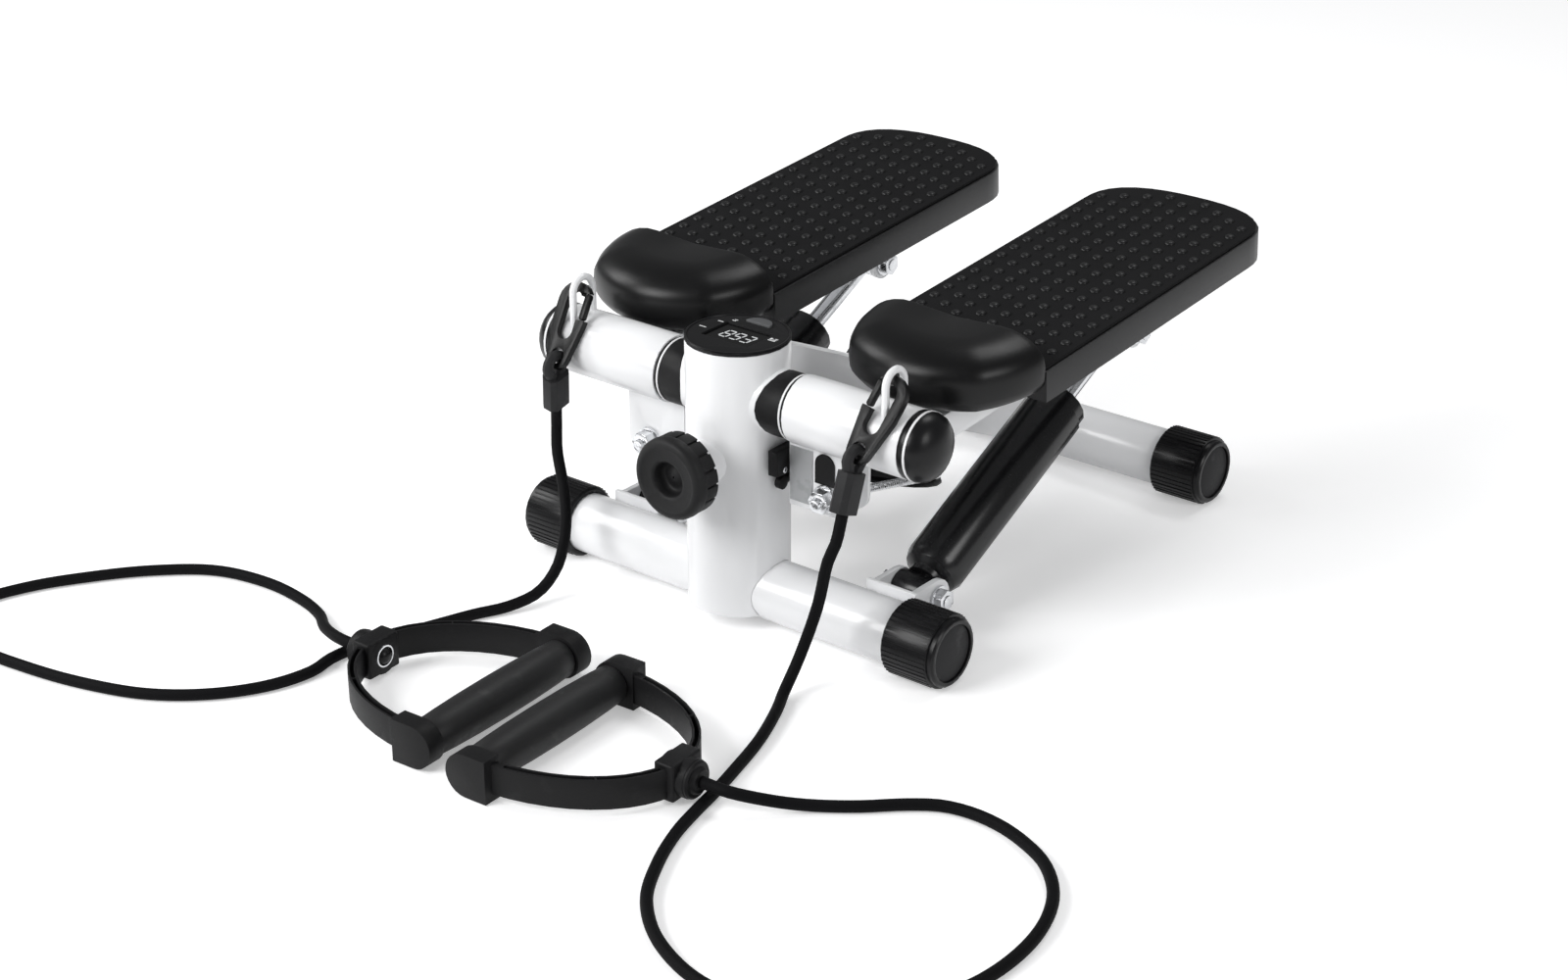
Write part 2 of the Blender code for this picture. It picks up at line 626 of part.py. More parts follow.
def main_beam(machine):
    """Square tube down from the post to the rear tube, with the pulley's stem under it."""
    low, slope = beam_line()
    frame = empty("beam_axis", low, Matrix.Rotation(-slope, 4, "X"), machine)
    length = low.y / math.cos(slope)
    half = BEAM_SIZE / 2
    bore = half - BEAM_WALL
    outer = block((-half, half), (-length, 0), (-half, half))
    inner = block((-bore, bore), (-length - BITE, BITE), (-bore, bore))
    into_beam = (Matrix.Translation(low) @ Matrix.Rotation(-slope, 4, "X")).inverted()
    along_pulley = Matrix.Translation((0, PULLEY_Y, PULLEY_Z)) @ Matrix.Rotation(
        -pulley_tilt(), 4, "X")
    lean = slope - pulley_tilt()
    drop = -(into_beam @ Vector((0, PULLEY_Y, PULLEY_Z))).z - half
    stem_top = drop / math.cos(lean) + STEM_RADIUS * math.tan(lean) + BEAM_WALL / 2
    stem_low = PULLEY_THICKNESS / 2 + PULLEY_RUNNING_GAP
    stem = moved(rod(STEM_RADIUS, stem_low, stem_top), turn=into_beam @ along_pulley)
    bolt_way = moved(rod(PULLEY_BOLT_RADIUS + GAP, 0, stem_low + PULLEY_BOLT_GRIP + GAP),
                     turn=into_beam @ along_pulley)
    post_way = rod(POST_RADIUS + GAP, 0, 2 * SHAFT_Z, FINE_SIDES)
    tube_way = rod(TUBE_RADIUS + GAP, -BEAM_SIZE, BEAM_SIZE, FINE_SIDES)
    piece("main_beam", outer, WHITE_STEEL, frame,
          joined=[stem],
          cut=[inner, bolt_way, moved(post_way, turn=into_beam),
               moved(tube_way, turn=into_beam @ Matrix.Translation(low) @ ALONG_X)])


def pulley_and_rope(machine):
    frame = empty("pulley_axis", (0, PULLEY_Y, PULLEY_Z),
                  Matrix.Rotation(-pulley_tilt(), 4, "X"), machine)
    half = PULLEY_THICKNESS / 2
    web = PULLEY_WEB / 2
    groove = PULLEY_ROPE_RADIUS - ROPE_RADIUS - GAP
    lip = ROPE_RADIUS + GAP
    bore = PULLEY_BOLT_RADIUS + GAP
    profile = [(bore, -half), (PULLEY_HUB_RADIUS, -half), (PULLEY_HUB_RADIUS, -web),
               (PULLEY_RIM_RADIUS, -web), (PULLEY_RIM_RADIUS, -half), (PULLEY_RADIUS, -half),
               (PULLEY_RADIUS, -half * 0.7), (groove, -lip), (groove, lip),
               (PULLEY_RADIUS, half * 0.7), (PULLEY_RADIUS, half), (PULLEY_RIM_RADIUS, half),
               (PULLEY_RIM_RADIUS, web), (PULLEY_HUB_RADIUS, web), (PULLEY_HUB_RADIUS, half),
               (bore, half)]
    piece("pulley", turned(profile, FINE_SIDES), SATIN_BLACK, frame)
    under = -half - GAP
    head = prism(hexagon(BOLT_HEAD_ACROSS), under - BOLT_HEAD_THICKNESS, under)
    shank = rod(PULLEY_BOLT_RADIUS, under - BITE, half + PULLEY_RUNNING_GAP + PULLEY_BOLT_GRIP)
    piece("pulley_bolt", head, BRIGHT_STEEL, frame, joined=[shank])
    rope(frame)


def rope_hold():
    """In the pulley's plane: the right-hand end, and the angle where it meets the wheel."""
    hold = Vector((ROPE_HALF_SPAN, (ROPE_START_Y - PULLEY_Y) / math.cos(pulley_tilt()), 0))
    touch = math.atan2(hold.y, hold.x) + math.acos(PULLEY_ROPE_RADIUS / hold.length)
    return hold, touch


def rope_direction():
    """Way of the right-hand rope run, from its stud towards the pulley."""
    hold, touch = rope_hold()
    meet = PULLEY_ROPE_RADIUS * Vector((math.cos(touch), math.sin(touch), 0))
    return (Matrix.Rotation(-pulley_tilt(), 3, "X") @ (meet - hold)).normalized()


def rope(frame):
    """Rope from stud to stud: two straight runs and the half turn between, in one plane."""
    hold, touch = rope_hold()
    turn = arc(0, 0, PULLEY_ROPE_RADIUS, touch, math.pi - touch, ROPE_ARC_STEPS)
    start = Vector((*turn[0], 0))
    run = [hold.lerp(start, i / ROPE_RUN_STEPS) for i in range(ROPE_RUN_STEPS)]
    flat = run + [Vector((*p, 0)) for p in turn]
    flat += [Vector((-p.x, p.y, 0)) for p in reversed(run)]
    cord("drive_rope", flat, ROPE_RADIUS, BRIGHT_STEEL, 2, frame)


def damper_bracket(machine, side):
    """Two ears on a plate behind the front tube."""
    front = TUBE_RADIUS + GAP
    plate = block((DAMPER_X - BRACKET_PLATE_HALF_WIDTH, DAMPER_X + BRACKET_PLATE_HALF_WIDTH),
                  (front, front + BRACKET_PLATE), (BRACKET_PLATE_LOW, BRACKET_PLATE_HIGH))
    root = front + BRACKET_PLATE / 2
    outline = [(root, BRACKET_PLATE_HIGH - BITE), (root, BRACKET_PLATE_LOW + BITE)]
    outline += arc(LOWER_PIVOT_Y, LOWER_PIVOT_Z, LOWER_EAR_RADIUS, -math.pi * 0.55,
                   math.pi * 0.5, 10)
    inner = LOWER_EYE_HALF_WIDTH + EAR_CLEARANCE
    outer = inner + EAR_THICKNESS
    ears = [moved(prism(outline, DAMPER_X + low, DAMPER_X + high), turn=YZ_ALONG_X)
            for low, high in ((-outer, -inner), (inner, outer))]
    hole = rod(BOLT_HOLE, DAMPER_X - 2 * outer, DAMPER_X + 2 * outer)
    piece(f"damper_bracket_{SIDE_NAMES[side]}", plate, WHITE_STEEL, machine, side,
          joined=ears, cut=[moved(hole, 0, LOWER_PIVOT_Y, LOWER_PIVOT_Z, ALONG_X)])


def pivot_bolt(name, frame, side, place, grip):
    """Bolt through both ears, a washer under head and nut; both sides have the nut at +X."""
    face = grip + GAP
    washer = face + BOLT_WASHER_THICKNESS
    end = washer + BOLT_HEAD_THICKNESS + BITE
    profile = [(0, -washer), (BOLT_WASHER_RADIUS, -washer), (BOLT_WASHER_RADIUS, -face),
               (PIVOT_BOLT_RADIUS, -face), (PIVOT_BOLT_RADIUS, face), (BOLT_WASHER_RADIUS, face),
               (BOLT_WASHER_RADIUS, washer), (PIVOT_BOLT_RADIUS, washer),
               (PIVOT_BOLT_RADIUS, end), (0, end)]
    middle = (DAMPER_X, place.y, place.z)
    way = ALONG_X if side == RIGHT else AGAINST_X
    bolt = moved(turned(profile), *middle, way)
    head = prism(hexagon(BOLT_HEAD_ACROSS), -washer - BOLT_HEAD_THICKNESS, -washer + BITE / 2)
    nut = prism(hexagon(BOLT_HEAD_ACROSS), washer - BITE / 2, washer + BOLT_HEAD_THICKNESS)
    piece(name, bolt, BRIGHT_STEEL, frame, side,
          joined=[moved(head, *middle, way), moved(nut, *middle, way)])


def damper_axis():
    low = Vector((0, LOWER_PIVOT_Y, LOWER_PIVOT_Z))
    high = Vector((0, UPPER_PIVOT_Y, UPPER_PIVOT_Z))
    return high - low


def damper(machine, side):
    """Cylinder and rod, drawn along Z from the lower pivot and laid along their axis."""
    name = SIDE_NAMES[side]
    reach = damper_axis()
    lean = Matrix.Rotation(-math.atan2(reach.y, reach.z), 4, "X")
    frame = empty(f"damper_axis_{name}", (0, LOWER_PIVOT_Y, LOWER_PIVOT_Z), lean, machine)
    bore = BODY_RADIUS - BODY_WALL
    hole = ROD_RADIUS + GAP
    profile = [(0, BODY_FOOT), (BODY_NECK_RADIUS, BODY_FOOT), (BODY_NECK_RADIUS, BODY_NECK_END),
               (BODY_SHOULDER_RADIUS, BODY_SHOULDER), (BODY_RADIUS, BODY_START),
               (BODY_RADIUS, COLLAR_START),
               (COLLAR_RADIUS, COLLAR_START + BITE), (COLLAR_RADIUS, COLLAR_END - BITE),
               (COLLAR_RADIUS - BITE, COLLAR_END), (hole, COLLAR_END), (hole, COLLAR_START),
               (bore, COLLAR_START), (bore, BODY_START + BODY_FOOT), (0, BODY_START + BODY_FOOT)]
    eye = rod(LOWER_EYE_RADIUS, DAMPER_X - LOWER_EYE_HALF_WIDTH, DAMPER_X + LOWER_EYE_HALF_WIDTH)
    eye_hole = rod(BOLT_HOLE, DAMPER_X - 2 * LOWER_EYE_HALF_WIDTH,
                   DAMPER_X + 2 * LOWER_EYE_HALF_WIDTH)
    piece(f"damper_body_{name}", moved(turned(profile), DAMPER_X), GLOSS_BLACK, frame, side,
          joined=[moved(eye, turn=ALONG_X)], cut=[moved(eye_hole, turn=ALONG_X)])
    piston = BODY_RADIUS - BODY_WALL - GAP
    piston_end = PISTON_START + PISTON_LENGTH
    stem = turned([(0, PISTON_START), (piston, PISTON_START), (piston, piston_end),
                   (ROD_RADIUS, piston_end), (ROD_RADIUS, reach.length), (0, reach.length)])
    low, high = DAMPER_X - UPPER_EYE_HALF_WIDTH, DAMPER_X + UPPER_EYE_HALF_WIDTH
    upper_eye = rod(UPPER_EYE_RADIUS, low, high)
    upper_hole = rod(UPPER_EYE_BORE, low - UPPER_EYE_RADIUS, high + UPPER_EYE_RADIUS)
    piece(f"piston_rod_{name}", moved(stem, DAMPER_X), BRIGHT_STEEL, frame, side,
          joined=[moved(upper_eye, 0, 0, reach.length, ALONG_X)],
          cut=[moved(upper_hole, 0, 0, reach.length, ALONG_X)])


def shaft_and_bushes(machine):
    shaft = rod(SHAFT_RADIUS, -SHAFT_HALF_LENGTH, SHAFT_HALF_LENGTH)
    piece("pivot_shaft", moved(shaft, 0, 0, SHAFT_Z, ALONG_X), BRIGHT_STEEL, machine)
    end = SLEEVE_INNER_X - GAP
    spigot = SLEEVE_BORE - GAP
    sunk = BUSH_RADIUS - GROOVE_DEPTH
    groove_end = BUSH_GROOVE_X + BUSH_GROOVE_WIDTH
    profile = [(SHAFT_HOLE, POST_RADIUS / 2), (BUSH_RADIUS, POST_RADIUS / 2),
               (BUSH_RADIUS, BUSH_GROOVE_X), (sunk, BUSH_GROOVE_X), (sunk, groove_end),
               (BUSH_RADIUS, groove_end), (BUSH_RADIUS, end), (spigot, end),
               (spigot, end + BUSH_SPIGOT), (SHAFT_HOLE, end + BUSH_SPIGOT)]
    for side in (RIGHT, LEFT):
        post_way = rod(POST_RADIUS + SADDLE_RISE + GAP, 0, 2 * SHAFT_Z, FINE_SIDES)
        piece(f"inner_bush_{SIDE_NAMES[side]}",
              moved(turned(profile, FINE_SIDES), 0, 0, SHAFT_Z, ALONG_X), SATIN_BLACK,
              machine, side, cut=[post_way])


def sleeve(frame, side):
    """Sleeve with the rope's bracket under it and the hook's ring on top, all welded."""
    tube = rod(SLEEVE_RADIUS, SLEEVE_INNER_X, SLEEVE_OUTER_X, FINE_SIDES)
    bore = rod(SLEEVE_BORE, SLEEVE_INNER_X - BITE, SLEEVE_OUTER_X + BITE, FINE_SIDES)
    item = piece(f"pivot_sleeve_{SIDE_NAMES[side]}", moved(tube, turn=ALONG_X), WHITE_STEEL,
                 frame, side, joined=[hook_ring()])
    channel = combine(item, rope_channel(), "UNION", frame, side)
    for way in rope_channel_ways():
        combine(channel, way, "DIFFERENCE", frame, side)
    combine(item, moved(bore, turn=ALONG_X), "DIFFERENCE", frame, side)


def hook_ring():
    """Bent wire over the sleeve: two legs that run into its wall and a half ring between."""
    rise = SLEEVE_RADIUS + HOOK_RING_LEG
    bend = arc(HOOK_RING_Y, rise, HOOK_RING_RADIUS, 0, math.pi, HOOK_RING_STEPS)
    foot = SLEEVE_BORE / 2
    path = [(bend[0][0], foot)] + bend + [(bend[-1][0], foot)]
    return swept([Vector((HOOK_RING_X, y, z)) for y, z in path], HOOK_RING_WIRE, 10)


def rope_channel():
    """Inverted channel under the sleeve: its two walls reach into the sleeve's wall."""
    front, rear = BRACKET_FRONT_Y, BRACKET_FRONT_Y + BRACKET_DEPTH
    front_in, rear_in = front + BRACKET_WALL, rear - BRACKET_WALL
    low = BRACKET_LOW_Z - SHAFT_Z
    web = -SLEEVE_RADIUS - BRACKET_WEB_DROP
    middle = SLEEVE_RADIUS - SLEEVE_WALL / 2
    front_top = -math.sqrt(middle ** 2 - front ** 2)
    rear_top = -math.sqrt(max(middle ** 2 - rear ** 2, 0))
    section = [(front, low), (front_in, low), (front_in, web), (rear_in, web), (rear_in, low),
               (rear, low), (rear, rear_top), (rear_in, rear_top), (rear_in, web + BRACKET_WALL),
               (front_in, web + BRACKET_WALL), (front_in, front_top), (front, front_top)]
    return moved(prism(section, BRACKET_INNER_X, BRACKET_OUTER_X), turn=YZ_ALONG_X)


def rope_channel_ways():
    """What is taken off the channel: room for bush and arm, a round corner, two holes."""
    bush_way = rod(SLEEVE_RADIUS + BUSH_CLEARANCE, 0, SLEEVE_INNER_X + BITE / 2, FINE_SIDES)
    low = BRACKET_LOW_Z - SHAFT_Z
    corner_x, corner_z = BRACKET_OUTER_X - BRACKET_CORNER, low + BRACKET_CORNER
    corner = [(BRACKET_OUTER_X + BITE, low - BITE), (BRACKET_OUTER_X + BITE, corner_z)]
    corner += arc(corner_x, corner_z, BRACKET_CORNER, 0, -math.pi / 2, 8)
    corner += [(corner_x, low - BITE)]
    corner_way = prism(corner, -BRACKET_FRONT_Y - BRACKET_DEPTH - BITE, -BRACKET_FRONT_Y + BITE)
    arm_way = block((DAMPER_X - ARM_WIDTH / 2 - GAP, BRACKET_OUTER_X + BITE),
                    (SLEEVE_RADIUS / 2, 2 * BRACKET_DEPTH), (ARM_TOP - ARM_HEIGHT - GAP, ARM_TOP))
    stud_way = rod(STUD_RADIUS + GAP, -BRACKET_WALL - BITE, BITE, 12)
    rope_way = rod(ROPE_HOLE, 0, 2 * BRACKET_DEPTH, 12)
    along_rope = rope_direction().to_track_quat("Z", "X").to_matrix().to_4x4()
    rise = ROPE_Z - SHAFT_Z
    return [moved(bush_way, turn=ALONG_X), moved(corner_way, turn=AGAINST_Y),
            moved(arm_way, turn=Matrix.Rotation(PEDAL_TILT, 4, "X")),
            moved(stud_way, ROPE_HALF_SPAN, BRACKET_FRONT_Y, rise, AGAINST_Y),
            moved(rope_way, ROPE_HALF_SPAN, ROPE_START_Y, rise, along_rope)]


def rope_nut(frame, side):
    """Threaded stud of the rope's end through the bracket, with its washer and nut in front."""
    washer_top = GAP + NUT_WASHER_THICKNESS
    nut_top = washer_top + NUT_THICKNESS
    stud = rod(STUD_RADIUS, -BRACKET_WALL - STUD_TAIL, nut_top + STUD_TIP, 12)
    washer = rod(NUT_WASHER_RADIUS, GAP, washer_top)
    nut = prism(hexagon(NUT_ACROSS), washer_top - GAP, nut_top)
    place = (ROPE_HALF_SPAN, BRACKET_FRONT_Y, ROPE_Z - SHAFT_Z)
    piece(f"rope_nut_{SIDE_NAMES[side]}", moved(stud, *place, AGAINST_Y), BRIGHT_STEEL, frame,
          side, joined=[moved(washer, *place, AGAINST_Y), moved(nut, *place, AGAINST_Y)])


def end_dome(frame, side):
    """Black cap: a spigot in the sleeve, a grooved flange and a domed end."""
    start = SLEEVE_OUTER_X + GAP
    spigot = SLEEVE_BORE - GAP
    sunk = SLEEVE_RADIUS - GROOVE_DEPTH
    groove = start + DOME_GROOVE
    seat = start + DOME_FLANGE
    bore_end = SHAFT_HALF_LENGTH + GAP
    profile = [(0, bore_end), (SHAFT_HOLE, bore_end), (SHAFT_HOLE, start - DOME_SPIGOT),
               (spigot, start - DOME_SPIGOT), (spigot, start), (SLEEVE_RADIUS, start),
               (SLEEVE_RADIUS, groove), (sunk, groove), (sunk, groove + DOME_GROOVE_WIDTH),
               (SLEEVE_RADIUS, groove + DOME_GROOVE_WIDTH)]
    rise = DOME_LENGTH - DOME_FLANGE
    for i in range(DOME_STEPS + 1):
        angle = math.pi / 2 * i / DOME_STEPS
        profile.append((SLEEVE_RADIUS * math.cos(angle), seat + rise * math.sin(angle)))
    profile[-1] = (0, seat + rise)
    piece(f"end_dome_{SIDE_NAMES[side]}", moved(turned(profile, FINE_SIDES), turn=ALONG_X),
          GLOSS_BLACK, frame, side)


def pivot_on_board():
    """The damper's upper pivot in the pedal's tilted frame."""
    out = Vector((0, UPPER_PIVOT_Y, UPPER_PIVOT_Z - SHAFT_Z))
    return Matrix.Rotation(-PEDAL_TILT, 3, "X") @ out


def pedal_arm(board, side):
    """Lever tube under the pedal, with the two ears of the damper's upper pivot."""
    low, high = ARM_TOP - ARM_HEIGHT, ARM_TOP
    half = ARM_WIDTH / 2
    tube = block((DAMPER_X - half, DAMPER_X + half), (0, ARM_REACH), (low, high))
    bore = block((DAMPER_X - half + ARM_WALL, DAMPER_X + half - ARM_WALL),
                 (-BITE, ARM_REACH + BITE), (low + ARM_WALL, high - ARM_WALL))
    sleeve_way = rod(SLEEVE_RADIUS + GAP, 0, 2 * DAMPER_X, FINE_SIDES)
    pivot = pivot_on_board()
    root = low + ARM_WALL / 2
    outline = [(pivot.y + UPPER_EAR_SPREAD, root), (pivot.y - UPPER_EAR_SPREAD, root)]
    outline += arc(pivot.y, pivot.z, UPPER_EAR_RADIUS, -math.pi * 0.87, -math.pi * 0.13, 10)
    inner = UPPER_EYE_HALF_WIDTH + EAR_CLEARANCE
    outer = inner + EAR_THICKNESS
    ears = [moved(prism(outline, DAMPER_X + a, DAMPER_X + b), turn=YZ_ALONG_X)
            for a, b in ((-outer, -inner), (inner, outer))]
    hole = rod(BOLT_HOLE, 0, 2 * DAMPER_X)
    piece(f"pedal_arm_{SIDE_NAMES[side]}", tube, WHITE_STEEL, board, side,
          joined=ears, cut=[bore, moved(sleeve_way, turn=ALONG_X),
                            moved(hole, 0, pivot.y, pivot.z, ALONG_X)])


def board_outline(front, inset):
    """Pedal outline seen from above: straight sides and a flat heel arc, drawn in by inset."""
    half = PEDAL_HALF_WIDTH - inset
    heel = HEEL_ARC_LENGTH - inset
    base = HEEL_REACH - HEEL_ARC_LENGTH
    outline = [(PEDAL_X - half, front), (PEDAL_X + half, front)]
    for i in range(HEEL_STEPS + 1):
        x, y = super_point(math.pi * i / HEEL_STEPS, half, heel, HEEL_POWER)
        outline.append((PEDAL_X + x, base + y))
    return outline


def pedal_plate(board, side):
    """Moulded footboard: skirt and ribs under a flat top, with a tongue inside the toe cup."""
    top = TREAD_HEIGHT - MAT_THICKNESS - GAP
    low = TREAD_HEIGHT - PLATE_DEPTH
    front = CUP_REAR + GAP
    body = prism(board_outline(front, 0), low, top)
    tongue_low = TREAD_HEIGHT - TONGUE_DEPTH
    tongue = block((PEDAL_X - TONGUE_HALF_WIDTH, PEDAL_X + TONGUE_HALF_WIDTH),
                   (front - TONGUE_LENGTH, front + BITE),
                   (tongue_low, tongue_low + TONGUE_THICKNESS))
    pockets = []
    first = front + SKIRT_WALL
    last = HEEL_REACH - HEEL_ARC_LENGTH
    pitch = (last - first + RIB_THICKNESS) / RIB_ROWS
    outer = PEDAL_HALF_WIDTH - SKIRT_WALL
    for row in range(RIB_ROWS):
        start = first + row * pitch
        for sign in (-1, 1):
            edges = sorted((PEDAL_X + sign * RIB_THICKNESS / 2, PEDAL_X + sign * outer))
            pockets.append(block(edges, (start, start + pitch - RIB_THICKNESS),
                                 (low - BITE, top - PLATE_THICKNESS)))
    heel = [(x, y) for x, y in board_outline(last, SKIRT_WALL) if y >= last + RIB_THICKNESS / 2]
    pockets.append(prism(heel, low - BITE, top - PLATE_THICKNESS))
    piece(f"pedal_plate_{SIDE_NAMES[side]}", body, SATIN_BLACK, board, side,
          joined=[tongue], cut=pockets)


def tread_mat(board, side):
    front = CUP_REAR + 2 * GAP
    mat = prism(board_outline(front, MAT_INSET), TREAD_HEIGHT - MAT_THICKNESS, TREAD_HEIGHT)
    piece(f"tread_mat_{SIDE_NAMES[side]}", mat, MATT_BLACK, board, side)


def cup_point(plan, section):
    """Point of the cup's outer skin: plan turns round the front, section from low to high."""
    middle = (CUP_HEIGHT - CUP_DEPTH) / 2
    half = (CUP_HEIGHT + CUP_DEPTH) / 2
    share, rise = super_point(section, 1, half, CUP_SECTION_POWER)
    x, y = super_point(plan, PEDAL_HALF_WIDTH, CUP_LENGTH, CUP_PLAN_POWER)
    dip = CUP_DIP * math.cos(math.pi / 2 * min(1, abs(share * x) / PEDAL_HALF_WIDTH)) ** 2
    lift = rise + middle - dip * max(0, rise) / half
    return Vector((PEDAL_X + share * x, CUP_REAR - share * y, TREAD_HEIGHT + lift))


def toe_cup(board, side):
    """Bulging toe cup with a scooped rear face, and a hollow that the plate's tongue enters."""
    shape = bmesh.new()
    sections = [math.pi * (j / CUP_SECTION_STEPS - 0.5) for j in range(1, CUP_SECTION_STEPS)]
    columns = []
    for i in range(CUP_PLAN_STEPS + 1):
        plan = math.pi * i / CUP_PLAN_STEPS
        columns.append([shape.verts.new(cup_point(plan, s)) for s in sections])
    poles = [shape.verts.new(cup_point(0, s)) for s in (-math.pi / 2, math.pi / 2)]
    for left, right in zip(columns, columns[1:]):
        for a, b, c, d in zip(left, right, right[1:], left[1:]):
            shape.faces.new((a, b, c, d))
        shape.faces.new((poles[0], right[0], left[0]))
        shape.faces.new((left[-1], right[-1], poles[1]))
    rim = [poles[0]] + columns[0] + [poles[1]] + columns[-1][::-1]
    centre = Vector((PEDAL_X, CUP_REAR, TREAD_HEIGHT + CUP_HEIGHT * 0.5))
    outer = rim
    for ring in range(1, CUP_SCOOP_RINGS + 1):
        share = 1 - ring / (CUP_SCOOP_RINGS + 1)
        inner = []
        for spot in rim:
            place = centre.lerp(spot.co, share)
            above = max(0.0, min(1.0, (place.z - TREAD_HEIGHT) / (CUP_HEIGHT * 0.4)))
            place.y -= CUP_SCOOP * (1 - share ** 2) * above
            inner.append(shape.verts.new(place))
        for k, spot in enumerate(outer):
            n = (k + 1) % len(outer)
            shape.faces.new((spot, outer[n], inner[n], inner[k]))
        outer = inner
    shape.faces.new(outer)
    bmesh.ops.recalc_face_normals(shape, faces=shape.faces)
    low = TREAD_HEIGHT - TONGUE_DEPTH - GAP
    tongue_top = low + TONGUE_THICKNESS + 2 * GAP
    fit = TONGUE_HALF_WIDTH + GAP
    tongue_way = block((PEDAL_X - fit, PEDAL_X + fit),
                       (CUP_REAR - TONGUE_LENGTH - GAP, CUP_REAR + BITE), (low, tongue_top))
    hollow_half = TONGUE_HALF_WIDTH - CUP_WALL
    hollow_top = TREAD_HEIGHT + CUP_HEIGHT - CUP_DIP - CUP_WALL
    hollow = eased_block((PEDAL_X - hollow_half, PEDAL_X + hollow_half),
                         (CUP_REAR - TONGUE_LENGTH - 2 * CUP_WALL,
                          CUP_REAR - CUP_SCOOP - CUP_WALL),
                         (tongue_top - BITE, hollow_top), 2 * CUP_WALL)
    piece(f"toe_cup_{SIDE_NAMES[side]}", shape, GLOSS_BLACK, board, side,
          cut=[tongue_way, hollow])


def knob_outline():
    """Round outline with raised grip blocks and shallow grooves between them."""
    outline = []
    pitch = 2 * math.pi / KNOB_GRIPS
    low = KNOB_RADIUS - KNOB_GROOVE_DEPTH
    for i in range(KNOB_GRIPS):
        start = i * pitch
        end = start + pitch * KNOB_GRIP_SHARE
        outline += arc(0, 0, KNOB_RADIUS, start, end, 2)
        outline += arc(0, 0, low, end + pitch * 0.06, start + pitch * 0.94, 1)
    return outline


def adjuster(machine):
    """Knob with grip blocks and a dished face, and its screw, turning about the knob's axis."""
    start = POST_RADIUS + KNOB_BOSS_LENGTH + GAP
    frame = empty("adjuster_axis", (0, -start, KNOB_Z), AGAINST_Y, machine)
    ring = prism(knob_outline(), 0, KNOB_DEPTH - KNOB_SHOULDER)
    root = KNOB_DEPTH - KNOB_SHOULDER - BITE
    dish = KNOB_DEPTH - KNOB_DISH_DEPTH
    face = turned([(0, root), (KNOB_RADIUS - 2 * KNOB_GROOVE_DEPTH, root),
                   (KNOB_RADIUS - 2 * KNOB_GROOVE_DEPTH, root + BITE), (KNOB_FACE_RADIUS, KNOB_DEPTH),
                   (KNOB_DISH_RADIUS + BITE, KNOB_DEPTH), (0, KNOB_DEPTH)], 28)
    hollow = turned([(0, dish + BITE), (KNOB_BUTTON_RADIUS * 0.6, dish + BITE * 0.7),
                     (KNOB_BUTTON_RADIUS, dish), (KNOB_DISH_RADIUS - BITE, dish),
                     (KNOB_DISH_RADIUS, dish + BITE), (KNOB_DISH_RADIUS, KNOB_DEPTH + BITE),
                     (0, KNOB_DEPTH + BITE)], 20)
    screw_way = rod(SCREW_RADIUS + GAP, -BITE, SCREW_IN_KNOB + GAP)
    piece("adjuster_knob", ring, MATT_BLACK, frame, joined=[face], cut=[hollow, screw_way])
    reach = KNOB_BOSS_LENGTH + GAP + SCREW_IN_POST
    screw = turned([(0, -reach), (SCREW_RADIUS - BITE, -reach), (SCREW_RADIUS, BITE - reach),
                    (SCREW_RADIUS, SCREW_IN_KNOB), (0, SCREW_IN_KNOB)], 16)
    piece("adjuster_screw", screw, BRIGHT_STEEL, frame)


def half_moon(width, length, ease):
    """Flat towards the window and round behind, drawn in by ease."""
    half = width / 2 - ease
    outline = [(-half, ease), (half, ease)]
    outline += [(x, ease + y) for x, y in
                (super_point(math.pi * i / BUTTON_STEPS, half, length - 2 * ease, 2.2)
                 for i in range(1, BUTTON_STEPS))]
    return outline


